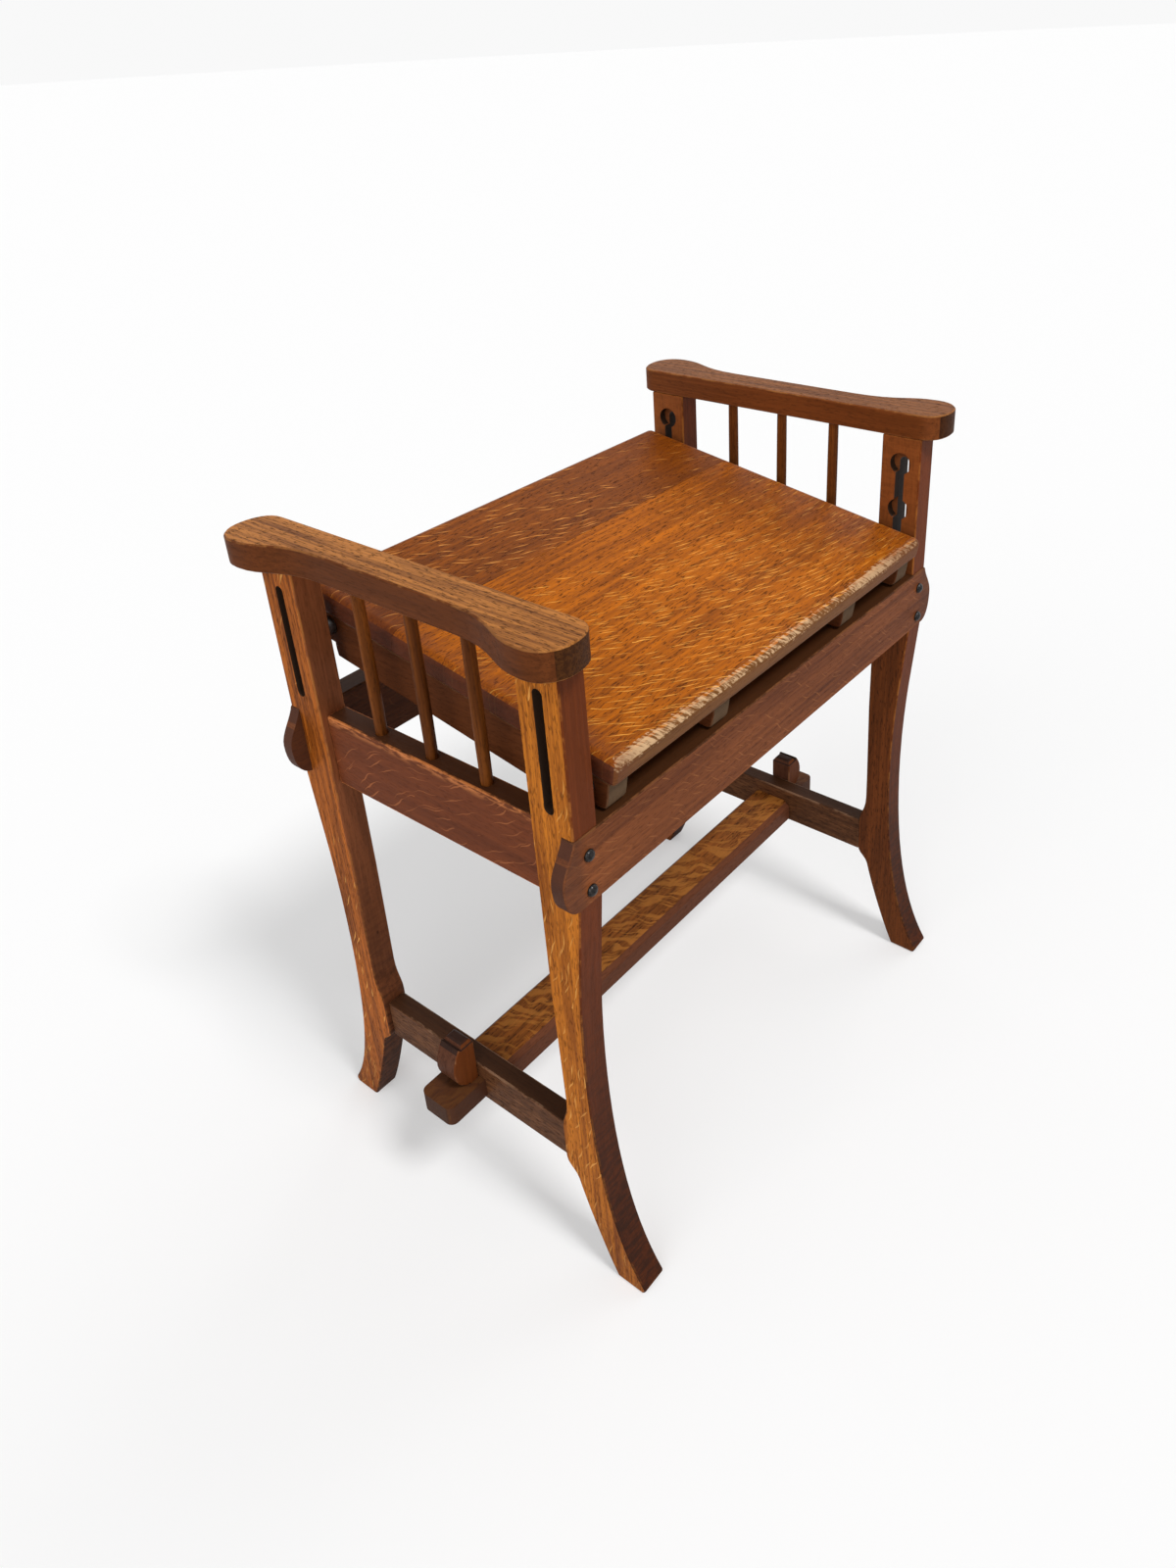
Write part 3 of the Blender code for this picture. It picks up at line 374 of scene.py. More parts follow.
def oak(name, axes, light, dark, edge, worn, pores, rubbed, shift=0.0, streak=0.4, knocks=(1.0, 0.0, 1.0),
        end=None, fleck=None, flecks=0.0, ribbons=0.0, ray=None, thick=None, full=None, lean=0.0, fan=0.0,
        rough=0.45, coat=0.02):
    """Polished oak. Axes names the axes along the grain, across the face and into it.

    Shift moves the grain along, so that no two pieces match, and streak says how strongly the fibres show.
    Knocks holds the grit, slant and draw of what is rubbed. Ray holds how many flecks lie along and across a
    metre, how far they turn from the grain and how they bend. Thick is their width, and full how many of them
    show. Lean says how many more there are for each metre across, and fan how they turn along the grain.
    """
    material, tree, shader = fresh_material(name)
    split = add(tree, "ShaderNodeSeparateXYZ", {"Vector": place_in_piece(tree)}).outputs
    along, across, into = (split[axis] for axis in axes)
    where = add(tree, "ShaderNodeCombineXYZ", {"X": sums(tree, "ADD", along, shift), "Y": across,
                                               "Z": into}).outputs[0]
    grain = add(tree, "ShaderNodeGroup", node_tree=GRAIN)
    tree.links.new(where, grain.inputs["Vector"])
    grain = grain.outputs
    rub = add(tree, "ShaderNodeGroup", node_tree=RUB)
    tree.links.new(where, rub.inputs["Vector"])
    for key, value in zip(("Amount", "Grit", "Slant", "Draw"), (rubbed, *knocks)):
        rub.inputs[key].default_value = value
    rub = rub.outputs["Mask"]
    kind = {key: kind_share(tree, key) for key in ("edge", "end", "inner", "hollow")}

    rest = (1.0 - streak) / 2
    tone = sums(tree, "MULTIPLY", grain["Fibre"], streak)
    tone = sums(tree, "MULTIPLY_ADD", grain["Band"], rest, tone)
    tone = sums(tree, "MULTIPLY_ADD", grain["Tone"], rest, tone)
    colour = mixed(tree, tone, dark, light)
    edge_colour = mixed(tree, tone, *(toned(edge, share) for share in EDGE_TONES))
    colour = mixed(tree, kind["edge"], colour, edge_colour)
    pore = sums(tree, "MULTIPLY_ADD", kind["edge"], (EDGE_PORES - 1.0) * pores, pores)
    pore = sums(tree, "MULTIPLY", grain["Pore"], pore)
    colour = mixed(tree, pore, colour, toned(dark, PORE_TONE))
    if fleck:
        rays = add(tree, "ShaderNodeGroup", node_tree=FLECK)
        tree.links.new(where, rays.inputs["Vector"])
        run, rise, turn, bend = ray
        for key, value in zip(("Run", "Rise", "Bend", "Thick"), (run, rise, bend, thick)):
            rays.inputs[key].default_value = value
        tree.links.new(sums(tree, "MULTIPLY_ADD", along, fan, turn), rays.inputs["Turn"])
        tree.links.new(sums(tree, "MULTIPLY_ADD", across, lean, full), rays.inputs["Full"])
        dashes = sums(tree, "MULTIPLY", rays.outputs["Dash"], flecks)
        shown = sums(tree, "MAXIMUM", dashes, sums(tree, "MULTIPLY", rays.outputs["Ribbon"], ribbons))
        face_share = sums(tree, "SUBTRACT", 1.0, kind["edge"])
        colour = mixed(tree, sums(tree, "MULTIPLY", shown, face_share), colour, fleck)
    dent = sums(tree, "MULTIPLY", grain["Dent"], DENT_SHARE)
    colour = mixed(tree, dent, colour, toned(dark, DENT_TONE))
    if end:
        end_colour = mixed(tree, tone, *(toned(end, share) for share in END_TONES))
        colour = mixed(tree, sums(tree, "MULTIPLY", kind["end"], END_SHARE), colour, end_colour)
    # Painted shade darkens the faces that look into the stool.
    shaded = sums(tree, "MULTIPLY", kind["inner"], INNER_SHADE_SHARE)
    colour = mixed(tree, shaded, colour, toned(dark, INNER_SHADE_TONE))
    colour = mixed(tree, rub, colour, worn)
    # Painted shade fills holes, slots and mortises.
    colour = mixed(tree, kind["hollow"], colour, HOLLOW_SHADE)
    tree.links.new(colour, shader.inputs["Base Color"])

    dull = sums(tree, "MULTIPLY_ADD", pore, PORE_DULL, rough)
    dull = sums(tree, "MULTIPLY_ADD", rub, RUB_DULL, dull)
    tree.links.new(dull, shader.inputs["Roughness"])
    relief = sums(tree, "MULTIPLY", grain["Fibre"], FIBRE_RELIEF)
    relief = sums(tree, "MULTIPLY_ADD", pore, -1.0, relief)
    bump = add(tree, "ShaderNodeBump", {"Strength": RELIEF_STRENGTH, "Distance": RELIEF_DEPTH,
                                        "Height": relief})
    tree.links.new(bump.outputs[0], shader.inputs["Normal"])
    shader.inputs["Specular IOR Level"].default_value = WOOD_GLOSS
    shader.inputs["Coat Weight"].default_value = coat
    shader.inputs["Coat Roughness"].default_value = COAT_ROUGH
    return material


STREAKED = (60, 60, 260)
STREAK_LEVELS = (0.42, 0.60)


def laid_over(material, axis, start, full, colour, share, broken=0.0, keep=None, only=None):
    """Lays a colour over a material, from nothing at the start place on an axis to its share at the full one.

    Broken says how far it is broken up into patches. Keep names a kind of surface that it leaves alone, and
    only names the one kind that it covers.
    """
    tree = material.node_tree
    base = tree.nodes["Principled BSDF"].inputs["Base Color"]
    where = place_in_piece(tree)
    place = add(tree, "ShaderNodeSeparateXYZ", {"Vector": where}).outputs[axis]
    mask = sums(tree, "MULTIPLY", ramp(tree, place, start, full), share)
    if broken:
        patches = ramp(tree, speckle(tree, where, STREAKED, detail=4.0, rough=0.65)["Fac"], *STREAK_LEVELS)
        mask = sums(tree, "MULTIPLY", mask, sums(tree, "MULTIPLY_ADD", patches, broken, 1.0 - broken))
    if keep:
        mask = sums(tree, "MULTIPLY", mask, sums(tree, "SUBTRACT", 1.0, kind_share(tree, keep)))
    if only:
        mask = sums(tree, "MULTIPLY", mask, kind_share(tree, only))
    tree.links.new(mixed(tree, mask, base.links[0].from_socket, colour), base)


def settle(piece, material, body, slot, *nodes):
    """Gives a piece its material and puts it in the place of CAD nodes on their body."""
    piece.data.materials.clear()
    piece.data.materials.append(material)
    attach(piece, body)
    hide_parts(*nodes)


LEG_EDGE = stain(104, 48, 18)
NO_FLECK = -0.7  # low enough to leave only a trace
LEGS = {
    "front_left_leg": (stain(216, 128, 36), stain(130, 66, 16), LEG_EDGE, 0.58),
    "back_left_leg": (stain(204, 112, 36), stain(108, 54, 16), stain(136, 78, 46), 0.40),
    # The right legs have darker colours than the left ones as painted shade.
    "front_right_leg": (stain(122, 64, 28), stain(78, 40, 18), LEG_EDGE, NO_FLECK),
    "back_right_leg": (stain(126, 66, 26), stain(80, 42, 16), LEG_EDGE, NO_FLECK),
}
FOOT_BAND = (0.15, 0.0)  # heights at which the feet's brown starts and is full
POST_BAND = (0.40, 0.46)  # the same for the right posts' lighter brown
TOE_BAND = (0.44, 0.04)  # and for the sawn edges' dark toes
for index, (node, (light, dark, edge, flecked)) in enumerate(LEGS.items()):
    leg_oak = oak(node + "_finish", "ZYX", light, dark, edge, stain(196, 124, 56), pores=0.55, rubbed=0.45,
                  shift=0.7 * index, streak=0.62, end=stain(70, 40, 24), fleck=stain(230, 162, 80),
                  flecks=0.9, ray=(48, 170, 0.3, 0.012), thick=0.15, full=flecked)
    laid_over(leg_oak, "Z", *FOOT_BAND, stain(104, 56, 24), share=0.5, broken=0.4, keep="edge")
    if "right" in node:
        laid_over(leg_oak, "Z", *POST_BAND, stain(158, 88, 42), share=0.6, broken=0.3, keep="edge")
    laid_over(leg_oak, "Z", *TOE_BAND, stain(44, 26, 19), share=0.9, broken=0.3, only="edge")
    leg = dressed(node, node + "_oak", edge_axis=(0, 1, 0), grain_axis=(0, 0, 1))
    settle(leg, leg_oak, "frame", "leg_oak", node)

# Arms: boards with a straight inner edge and lobed ends, fixed on the post tenons and the spindle tops.
# The tops are open-pored and hand-worn, the sawn sides darker.
ARMS = {
    "left_arm": (stain(190, 122, 58), stain(104, 59, 25), stain(98, 51, 22)),
    "right_arm": (stain(150, 92, 46), stain(92, 50, 22), stain(114, 60, 26)),
}
for index, (node, (light, dark, sides)) in enumerate(ARMS.items()):
    arm_oak = oak(node + "_finish", "YXZ", light, dark, sides, stain(168, 112, 62), pores=0.8, rubbed=0.5,
                  shift=0.4 + index, streak=0.7, end=stain(52, 25, 8))
    arm = dressed(node, node + "_oak", edge_axis=(1, 0, 0), grain_axis=(0, 1, 0))
    settle(arm, arm_oak, "frame", "arm_oak", node)

# Spindles: six thin turned rods that stand in bored sockets between the side rails and the arms.
# Plain oak with the grain running up them, a shade thinner at the ends than at the middle.
SPINDLES = [side + "_spindle_" + place for side in ("left", "right") for place in ("front", "middle", "back")]
SPINDLE_SLIM = 0.06  # share by which the ends are thinner
SPINDLE_STEPS = 24
SPINDLE_SIDES = 24


def tree_with(name, sizes, turns=()):
    """An empty Geometry Nodes tree with a mesh of points, a material, named sizes and turns as its inputs."""
    tree = bpy.data.node_groups.new(name, "GeometryNodeTree")
    tree.interface.new_socket("Geometry", in_out="INPUT", socket_type="NodeSocketGeometry")
    tree.interface.new_socket("Material", in_out="INPUT", socket_type="NodeSocketMaterial")
    for size in sizes:
        tree.interface.new_socket(size, in_out="INPUT", socket_type="NodeSocketFloat")
    for turn in turns:
        tree.interface.new_socket(turn, in_out="INPUT", socket_type="NodeSocketVector")
    tree.interface.new_socket("Geometry", in_out="OUTPUT", socket_type="NodeSocketGeometry")
    return tree, tree.nodes.new("NodeGroupInput").outputs, tree.nodes.new("NodeGroupOutput").inputs


def place_copies(tree, given, shown, shape, turn):
    """Puts a shape on every point, makes the copies real and gives them the material."""
    copies = add(tree, "GeometryNodeInstanceOnPoints", {"Points": given["Geometry"], "Instance": shape,
                                                        "Rotation": turn})
    real = add(tree, "GeometryNodeRealizeInstances", {"Geometry": copies.outputs[0]})
    finish = add(tree, "GeometryNodeSetMaterial", {"Geometry": real.outputs[0],
                                                   "Material": given["Material"]})
    tree.links.new(finish.outputs[0], shown["Geometry"])


def made_plain(name, places, tree, values):
    """Runs a Geometry Nodes tree on points and returns the result as a plain mesh object."""
    mesh = bpy.data.meshes.new(name + "_places")
    mesh.from_pydata([tuple(place) for place in places], [], [])
    holder = placed(name + "_places", mesh)
    work = holder.modifiers.new("make", "NODES")
    work.node_group = tree
    for item in tree.interface.items_tree:
        if item.name in values:
            work[item.identifier] = values[item.name]
    graph = bpy.context.evaluated_depsgraph_get()
    plain = bpy.data.meshes.new_from_object(holder.evaluated_get(graph))
    bpy.data.objects.remove(holder)
    plain.name = name
    return placed(name, plain)


def spindle_tree():
    """A rod from a point upwards, with a slight swell at the middle."""
    tree, given, shown = tree_with("turned_spindle", ("Length", "Radius"))
    top = add(tree, "ShaderNodeCombineXYZ", {"Z": given["Length"]}).outputs[0]
    line = add(tree, "GeometryNodeCurvePrimitiveLine", {"End": top}).outputs[0]
    fine = add(tree, "GeometryNodeResampleCurve", {"Curve": line, "Count": SPINDLE_STEPS}).outputs[0]
    way = add(tree, "GeometryNodeSplineParameter").outputs["Factor"]
    swell = sums(tree, "SINE", sums(tree, "MULTIPLY", way, math.pi))
    share = sums(tree, "MULTIPLY_ADD", swell, SPINDLE_SLIM, 1.0 - SPINDLE_SLIM)
    sized = add(tree, "GeometryNodeSetCurveRadius", {"Curve": fine, "Radius": share}).outputs[0]
    ring = add(tree, "GeometryNodeCurvePrimitiveCircle", {"Resolution": SPINDLE_SIDES,
                                                          "Radius": given["Radius"]}).outputs[0]
    rod = add(tree, "GeometryNodeCurveToMesh", {"Curve": sized, "Profile Curve": ring, "Fill Caps": True,
                                                "Scale": share}).outputs[0]
    smooth = add(tree, "GeometryNodeSetShadeSmooth", {"Geometry": rod}).outputs[0]
    place_copies(tree, given, shown, smooth, (0.0, 0.0, 0.0))
    return tree


spindle_oak = oak("spindle_finish", "ZYX", stain(140, 78, 28), stain(74, 36, 12), stain(104, 58, 28),
                  stain(150, 92, 44), pores=0.35, rubbed=0.0)
spindle_boxes = [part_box(node) for node in SPINDLES]
spindle_feet = [((low.x + high.x) / 2, (low.y + high.y) / 2, low.z) for low, high in spindle_boxes]
spindle_low, spindle_high = spindle_boxes[0]
spindle_sizes = {"Material": spindle_oak, "Length": spindle_high.z - spindle_low.z,
                 "Radius": (spindle_high.x - spindle_low.x) / 2}
spindles = made_plain("spindles", spindle_feet, spindle_tree(), spindle_sizes)
settle(spindles, spindle_oak, "frame", "arm_oak", *SPINDLES)

# Side rails: upright boards under the spindles, tenoned into the posts a little behind their outer faces.
# The stain is redder and smoother than the legs', and the top arris is rubbed to bare wood.
WORN_BAND = (0.0095, 0.001)  # how far under the top the bare wood starts and is full
for index, node in enumerate(("left_side_rail", "right_side_rail")):
    side_oak = oak(node + "_finish", "YZX", stain(132, 68, 36), stain(96, 48, 26), stain(84, 50, 30),
                   stain(206, 124, 66), pores=0.3, rubbed=0.9, shift=0.9 + index, streak=0.25,
                   fleck=stain(170, 100, 58), flecks=0.8, ray=(26, 150, 0.5, 0.012), thick=0.11, full=0.62)
    rail_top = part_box(node)[1].z
    laid_over(side_oak, "Z", rail_top - WORN_BAND[0], rail_top - WORN_BAND[1], stain(212, 130, 74),
              share=1.0, broken=0.95, keep="edge")
    # The side facing into the stool gets painted shade.
    inward = 1 - 2 * index
    rail = dressed(node, node + "_oak", edge_axis=(0, 0, 1), grain_axis=(0, 1, 0), inner=(inward, 0, 0))
    settle(rail, side_oak, "frame", "rail_oak", node)

# Lower side rails: square rails that tie the legs near the floor and carry the footrest's tenons.
# Their tops are almost black with old polish and dust, their outer arrises worn pale.
MOTTLE_BLEND = 0.01
for index, node in enumerate(("left_lower_rail", "right_lower_rail")):
    low_oak = oak(node + "_finish", "YZX", stain(126, 81, 51), stain(72, 43, 25), stain(66, 40, 24),
                  stain(146, 110, 84), pores=0.7, rubbed=0.7, shift=0.2 + index)
    low_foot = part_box(node)[0].z
    laid_over(low_oak, "Z", low_foot - MOTTLE_BLEND, low_foot, stain(62, 36, 22), share=0.55, broken=0.9,
              keep="edge")
    rail = dressed(node, node + "_oak", edge_axis=(0, 0, 1), grain_axis=(0, 1, 0))
    settle(rail, low_oak, "frame", "dark_oak", node)

# Front and back rails: boards lapped into the posts, with an ear past each post and two studs at each end.
# Red-brown stain over faint slanting fleck, darker on the ears.
EAR_BAND = 0.012
post_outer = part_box("front_right_leg")[1].x
for index, node in enumerate(("front_rail", "back_rail")):
    rail_oak = oak(node + "_finish", "XZY", stain(148, 84, 45), stain(89, 46, 25), stain(72, 42, 22),
                   stain(156, 98, 58), pores=0.35, rubbed=0.4, shift=0.3 + index, streak=0.3,
                   end=stain(76, 45, 34), fleck=stain(158, 98, 56), flecks=0.6, ray=(46, 190, 0.6, 0.010),
                   thick=0.12, full=0.6)
    for side in (-1, 1):
        laid_over(rail_oak, "X", side * (post_outer - EAR_BAND), side * post_outer, stain(78, 48, 36),
                  share=0.6, broken=0.2)
    # The side facing into the stool gets painted shade.
    inward = 1 - 2 * index
    rail = dressed(node, node + "_oak", edge_axis=(0, 0, 1), grain_axis=(1, 0, 0), inner=(0, inward, 0))
    settle(rail, rail_oak, "frame", "rail_oak", node)

# Studs: black iron studs with low domed heads, driven through the rails into the posts.
# The domes are hand-finished, with blotches of old black on worn metal.
STUD_NAMES = [side + "_" + level + "_stud" for side in ("left", "right") for level in ("top", "low")]
STUD_SHANK = 0.0025
STUD_LIFT = 0.0002
STUD_SEGMENTS = 28
STUD_RINGS = 16
SHANK_SIDES = 14
PIT_STRENGTH = 0.3
PIT_DEPTH = 0.0003


def stud_tree():
    """A low dome over a point, with a round shank below it."""
    tree, given, shown = tree_with("domed_stud", ("Radius", "Height", "Shank", "Length"), ("Turn",))
    ball = add(tree, "GeometryNodeMeshUVSphere", {"Segments": STUD_SEGMENTS, "Rings": STUD_RINGS,
                                                  "Radius": 1.0}).outputs[0]
    spread = add(tree, "ShaderNodeCombineXYZ", {"X": given["Radius"], "Y": given["Radius"],
                                                "Z": given["Height"]}).outputs[0]
    oval = add(tree, "GeometryNodeTransform", {"Geometry": ball, "Scale": spread}).outputs[0]
    place = add(tree, "GeometryNodeInputPosition").outputs[0]
    place = add(tree, "ShaderNodeSeparateXYZ", {"Vector": place}).outputs
    raised = add(tree, "ShaderNodeCombineXYZ", {"X": place["X"], "Y": place["Y"],
                                                "Z": sums(tree, "MAXIMUM", place["Z"], 0.0)}).outputs[0]
    dome = add(tree, "GeometryNodeSetPosition", {"Geometry": oval, "Position": raised}).outputs[0]
    dome = add(tree, "GeometryNodeSetShadeSmooth", {"Geometry": dome}).outputs[0]
    shank = add(tree, "GeometryNodeMeshCylinder", {"Vertices": SHANK_SIDES, "Radius": given["Shank"],
                                                   "Depth": given["Length"]}).outputs[0]
    down = add(tree, "ShaderNodeCombineXYZ", {"Z": sums(tree, "MULTIPLY", given["Length"], -0.5)}).outputs[0]
    sunk = add(tree, "GeometryNodeTransform", {"Geometry": shank, "Translation": down}).outputs[0]
    whole = add(tree, "GeometryNodeJoinGeometry", {"Geometry": dome})
    tree.links.new(sunk, whole.inputs[0])
    place_copies(tree, given, shown, whole.outputs[0], given["Turn"])
    return tree


def metal(name, dark, light, rate, detail, smooth, rougher, metallic, levels=None, pitted=False):
    """Bare metal whose colour and roughness follow one noise: it is smooth, and in places so much rougher.

    Levels draw the colour's contrast up, and pitted gives the noise relief.
    """
    material, tree, shader = fresh_material(name)
    noise = speckle(tree, place_in_piece(tree), rate, detail)["Fac"]
    shade = add(tree, "ShaderNodeValToRGB", {"Fac": ramp(tree, noise, *levels) if levels else noise})
    shade.color_ramp.elements[0].color = dark
    shade.color_ramp.elements[1].color = light
    tree.links.new(shade.outputs["Color"], shader.inputs["Base Color"])
    tree.links.new(sums(tree, "MULTIPLY_ADD", noise, rougher, smooth), shader.inputs["Roughness"])
    shader.inputs["Metallic"].default_value = metallic
    if pitted:
        bump = add(tree, "ShaderNodeBump", {"Strength": PIT_STRENGTH, "Distance": PIT_DEPTH, "Height": noise})
        tree.links.new(bump.outputs[0], shader.inputs["Normal"])
    return material


iron = metal("black_iron", stain(18, 17, 18), stain(56, 52, 50), rate=(700, 700, 700), detail=4.0,
             smooth=0.12, rougher=0.35, metallic=0.6, levels=(0.35, 0.75), pitted=True)
stud_forms = stud_tree()
for end, toward in (("front", -1), ("back", 1)):
    nodes = [end + "_" + name for name in STUD_NAMES]
    boxes = [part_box(node) for node in nodes]
    low, high = boxes[0]
    crown = max(abs(low.y), abs(high.y))
    rail_low, rail_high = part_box(end + "_rail")
    rail_face = max(abs(rail_low.y), abs(rail_high.y))
    places = [((a.x + b.x) / 2, toward * (rail_face + STUD_LIFT), (a.z + b.z) / 2) for a, b in boxes]
    sizes = {"Material": iron, "Radius": (high.x - low.x) / 2, "Height": crown - rail_face,
             "Shank": STUD_SHANK, "Length": rail_face - min(abs(low.y), abs(high.y)),
             "Turn": (math.radians(-90 * toward), 0.0, 0.0)}
    settle(made_plain(end + "_rail_studs", places, stud_forms, sizes), iron, "frame", "iron", *nodes)

# Footrest: a flat board across the stool, with through tenons that the wedges lock.
# Wide gold fleck runs across its top, and the chamfers along it are dull and grey with shoe polish.
TENON_BAND = 0.001
rest_oak = oak("footrest_finish", "XYZ", stain(150, 86, 34), stain(66, 34, 12), stain(98, 56, 36),
               stain(150, 100, 62), pores=0.7, rubbed=0.5, end=stain(54, 38, 30), fleck=stain(172, 110, 48),
               flecks=0.6, ribbons=0.6, ray=(34, 200, 0.85, 0.022), thick=0.2, full=0.5)
rail_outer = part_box("right_lower_rail")[1].x
for side in (-1, 1):
    laid_over(rest_oak, "X", side * (rail_outer - TENON_BAND), side * rail_outer, stain(70, 42, 28),
              share=0.85)
footrest = dressed("footrest", "footrest_oak", edge_axis=(0, 1, 0), grain_axis=(1, 0, 0))
settle(footrest, rest_oak, "frame", "seat_oak", "footrest")

# Wedges: leaf-shaped tusks driven down through the tenons, flat against the lower rails.
# Dark and bruised on their rounded heads, with pale rubbed arrises and feet cut short under the tenons.
WEDGE_CROWN = ((0.0020, 0.0026), (0.0020, 0.0014), (0.0016, 0.0005))  # each ring's way in and up
WEDGE_RIM = 0.002
WEDGE_SWELL = 0.005
WEDGE_THICK = 0.019
WEDGE_FOOT = 0.25  # share of the foot that is left
WEDGE_END_TURN = 0.5
tenon_low, tenon_top = (corner.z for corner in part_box("footrest"))


def leaf_shaped(built):
    """Swells a wedge's outer side from the tenon to the head, shortens its foot and rounds its head over."""
    cap = max(built.faces, key=lambda face: face.calc_center_median().z)
    high = cap.calc_center_median().z
    for vertex in built.verts:
        place = vertex.co
        out = (abs(place.x) - rail_outer) / WEDGE_THICK
        up = min(1.0, max(0.0, (place.z - tenon_top) / (high - tenon_top)))
        place.x += math.copysign(WEDGE_SWELL * max(0.0, out) * math.sin(math.pi * up), place.x)
        if place.z < tenon_low:
            place.z = tenon_low + WEDGE_FOOT * (place.z - tenon_low)
        if place.z > high - WEDGE_RIM:
            place.z -= sum(rise for inset, rise in WEDGE_CROWN)
    for inset, rise in WEDGE_CROWN:
        bmesh.ops.inset_region(built, faces=[cap], thickness=inset, depth=rise)


for index, node in enumerate(("left_wedge", "right_wedge")):
    wedge_oak = oak(node + "_finish", "ZXY", stain(98, 60, 42), stain(74, 42, 28), stain(102, 52, 22),
                    stain(168, 120, 84), pores=0.4, rubbed=0.55, shift=0.5 + index, end=stain(46, 30, 24))
    wedge = dressed(node, node + "_oak", edge_axis=(0, 1, 0), grain_axis=(0, 0, 1), shaped=leaf_shaped,
                    end_turn=WEDGE_END_TURN)
    settle(wedge, wedge_oak, "frame", "rail_oak", node)

# Seat boards: two quartered boards glued edge to edge, the grain running from arm to arm.
# The front board is golden and densely flecked, the back one redder. The ends are dark end grain.
# The front edge is rounded over, and its stain is scraped off in slanting streaks.
NOSING_WAY = (0, -0.8, 0.6)
RIGHT_BAND = 0.16  # width of the browner right end
LEFT_BAND = 0.035  # and of the left one
seat_finishes = {
    "seat_front_board": oak("seat_front_finish", "XYZ", stain(200, 108, 10), stain(122, 60, 5),
                            stain(118, 74, 36), stain(224, 186, 142), pores=0.75, rubbed=0.75, streak=0.5,
                            knocks=(4.0, 0.8, 3.5), end=stain(54, 33, 29), fleck=stain(236, 164, 68),
                            flecks=1.0, ray=(44, 240, 0.40, 0.005), thick=0.14, full=0.34, lean=-5.2,
                            fan=-0.9, rough=0.40),
    "seat_back_board": oak("seat_back_finish", "XYZ", stain(150, 78, 12), stain(94, 44, 6),
                           stain(104, 64, 30), stain(170, 120, 76), pores=0.75, rubbed=0.0, shift=1.7,
                           streak=0.5, end=stain(50, 31, 27), fleck=stain(216, 142, 66), flecks=1.0,
                           ray=(40, 150, 0.40, 0.008), thick=0.12, full=0.56, rough=0.40),
}
seat_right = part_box("seat_front_board")[1].x
for node, finish in seat_finishes.items():
    laid_over(finish, "X", seat_right - RIGHT_BAND, seat_right, stain(104, 48, 12), share=0.6, broken=0.4)
    laid_over(finish, "X", LEFT_BAND - seat_right, -seat_right, stain(104, 54, 34), share=0.65, broken=0.4)
    board = dressed(node, node + "_oak", edge_axis=(0, 1, 0), grain_axis=(1, 0, 0), nosing=NOSING_WAY)
    settle(board, finish, "seat", "seat_oak", node)

# Bearers: four battens screwed up under the seat, stepped at the ends to pass over the rails.
# Left rough from the saw, with dusty grey ends and bores for the two rods.
BEARERS = ("left_end_bearer", "left_inner_bearer", "right_inner_bearer", "right_end_bearer")
for index, node in enumerate(BEARERS):
    bearer_oak = oak(node + "_finish", "YZX", stain(106, 58, 30), stain(78, 40, 19), stain(80, 44, 24),
                     stain(120, 92, 66), pores=0.3, rubbed=0.4, shift=0.6 * index, streak=0.3,
                     end=stain(94, 74, 54), rough=0.6, coat=0.0)
    bearer = dressed(node, node + "_oak", grain_axis=(0, 1, 0))
    settle(bearer, bearer_oak, "seat", "dark_oak", node)

# Bearer screws: countersunk steel screws let in from below, two to a bearer, holding it to the seat.
# Turned bright and now dull, with fine lines round them from the lathe.
steel = metal("turned_steel", stain(92, 90, 90), stain(150, 148, 146), rate=(1400, 60, 60), detail=3.0,
              smooth=0.20, rougher=0.30, metallic=0.95)
for node in [bearer + end for bearer in BEARERS for end in ("_front_screw", "_back_screw")]:
    settle(dressed(node, node + "_steel"), steel, "seat", "steel", node)

# Rods: a pivot rod right across at the front, and a thinner guide rod at the back that goes with the seat.
# Both are turned from steel, with collars on them, and run through the bearers into the posts' slots.
settle(dressed("front_rod", "front_rod_steel"), steel, "front_rod", "steel", "front_rod")
settle(dressed("back_rod", "back_rod_steel"), steel, "seat", "steel", "back_rod")

# Sleeves: flanged steel tubes, one at each end of the two rods.
# Each slides on its rod through an end bearer, and plugs a round hole in the post to hold the seat's height.
for node in ("front_left_sleeve", "front_right_sleeve", "back_left_sleeve", "back_right_sleeve"):
    settle(dressed(node, node + "_steel"), steel, node, "steel", node)

# Studio: a plain pale floor, and a white surround that shows its full white only to the camera and in gloss.
# The floor glows a little to the camera, which brings it close to the surround's white.
FLOOR_REACH = 40.0
FLOOR_SEGMENTS = 64
FLOOR_GREY = (0.62, 0.62, 0.62, 1.0)
FLOOR_GLOW = 0.305
WHITE = (1.0, 1.0, 1.0, 1.0)
AMBIENT_POWER = 0.36
WHITE_POWER = 0.945
floor_mesh = bpy.data.meshes.new("studio_floor")
floor_build = bmesh.new()
bmesh.ops.create_circle(floor_build, cap_ends=True, segments=FLOOR_SEGMENTS, radius=FLOOR_REACH)
floor_build.to_mesh(floor_mesh)
floor_build.free()
floor = placed("studio_floor", floor_mesh)
floor_paint, paint_nodes, paint = fresh_material("studio_floor_paint")
paint.inputs["Base Color"].default_value = FLOOR_GREY
paint.inputs["Roughness"].default_value = 0.9
paint.inputs["Specular IOR Level"].default_value = 0.0
paint.inputs["Emission Color"].default_value = WHITE
seen = add(paint_nodes, "ShaderNodeLightPath").outputs["Is Camera Ray"]
paint_nodes.links.new(sums(paint_nodes, "MULTIPLY", seen, FLOOR_GLOW), paint.inputs["Emission Strength"])
floor_mesh.materials.append(floor_paint)

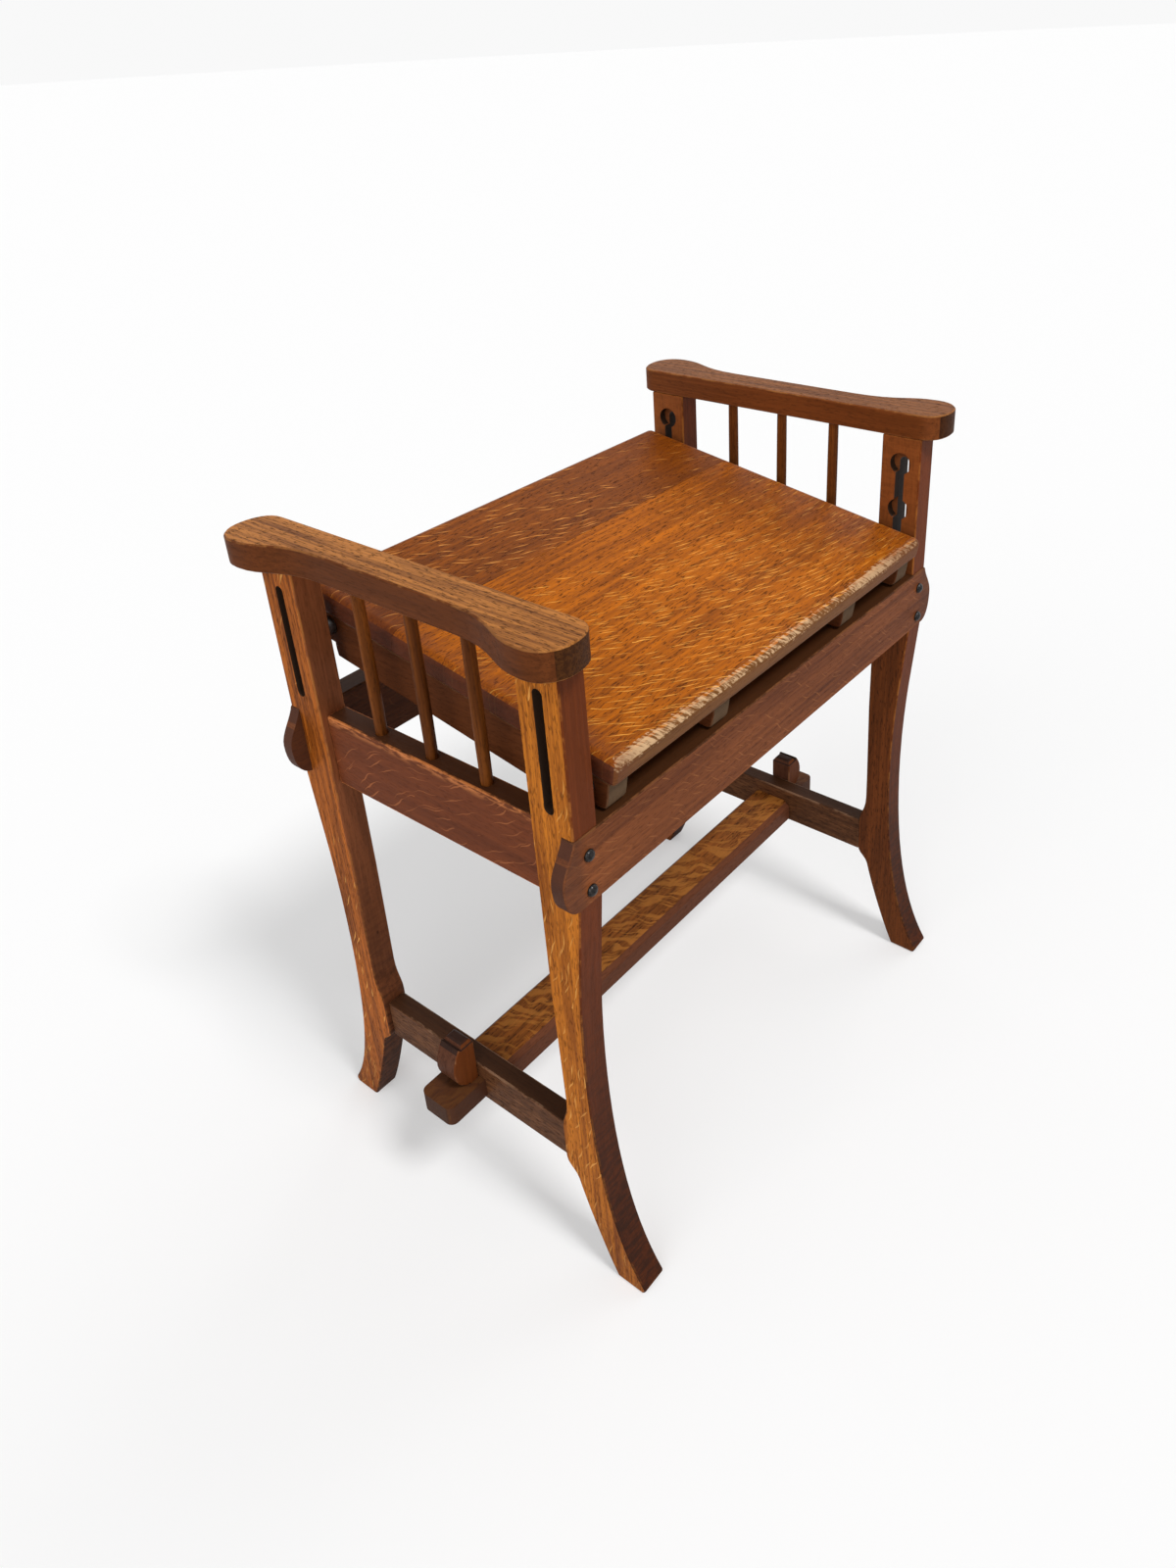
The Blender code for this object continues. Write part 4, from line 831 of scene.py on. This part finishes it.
world = bpy.data.worlds.new("studio_surround")
bpy.context.scene.world = world
world.use_nodes = True
surround = world.node_tree
surround.nodes.clear()
path = add(surround, "ShaderNodeLightPath").outputs
seen = sums(surround, "MAXIMUM", path["Is Camera Ray"], path["Is Glossy Ray"])
seen = sums(surround, "MAXIMUM", seen, path["Is Transmission Ray"])
power = add(surround, "ShaderNodeMapRange", {"Value": seen, "To Min": AMBIENT_POWER, "To Max": WHITE_POWER})
sky = add(surround, "ShaderNodeBackground", {"Color": WHITE, "Strength": power.outputs["Result"]})
add(surround, "ShaderNodeOutputWorld", {"Surface": sky.outputs[0]})

# Lamps: three far lamps with soft edges, each given by the way to it, its strength and its width in degrees.
# The main one stands above and in front, and weaker, broader ones stand to the left and the right.
for name, toward, strength, spread in (("key_lamp", (-0.04, -0.56, 0.83), 1.85, 14),
                                       ("left_lamp", (-0.88, -0.15, 0.45), 1.15, 60),
                                       ("right_lamp", (0.78, -0.05, 0.62), 0.45, 40)):
    lamp = bpy.data.lights.new(name, "SUN")
    lamp.energy = strength
    lamp.angle = math.radians(spread)
    placed(name, lamp).rotation_euler = Vector(toward).to_track_quat("Z", "Y").to_euler()

# Camera: where the photograph was taken from, fitted to the stool's straight edges.
# The lens is shifted, because the picture's middle lies off its axis. Colours go out without a film look.
CAMERA_PLACE = Vector((-0.66360, -0.56525, 0.91421))
CAMERA_RIGHT = Vector((0.61913, -0.78394, -0.04615))
CAMERA_UP = Vector((0.39518, 0.26025, 0.88097))
CAMERA_BACK = Vector((-0.67861, -0.56367, 0.47093))
lens = bpy.data.cameras.new("photo_camera")
lens.sensor_fit = "VERTICAL"
lens.sensor_height = 36.0
lens.lens = 26.307
lens.shift_x = -0.0377
lens.shift_y = -0.0996
lens.clip_end = 100.0
camera = placed("photo_camera", lens)
turn = Matrix((CAMERA_RIGHT, CAMERA_UP, CAMERA_BACK)).transposed().to_4x4()
camera.matrix_world = Matrix.Translation(CAMERA_PLACE) @ turn
bpy.context.scene.camera = camera
bpy.context.scene.view_settings.view_transform = "Standard"
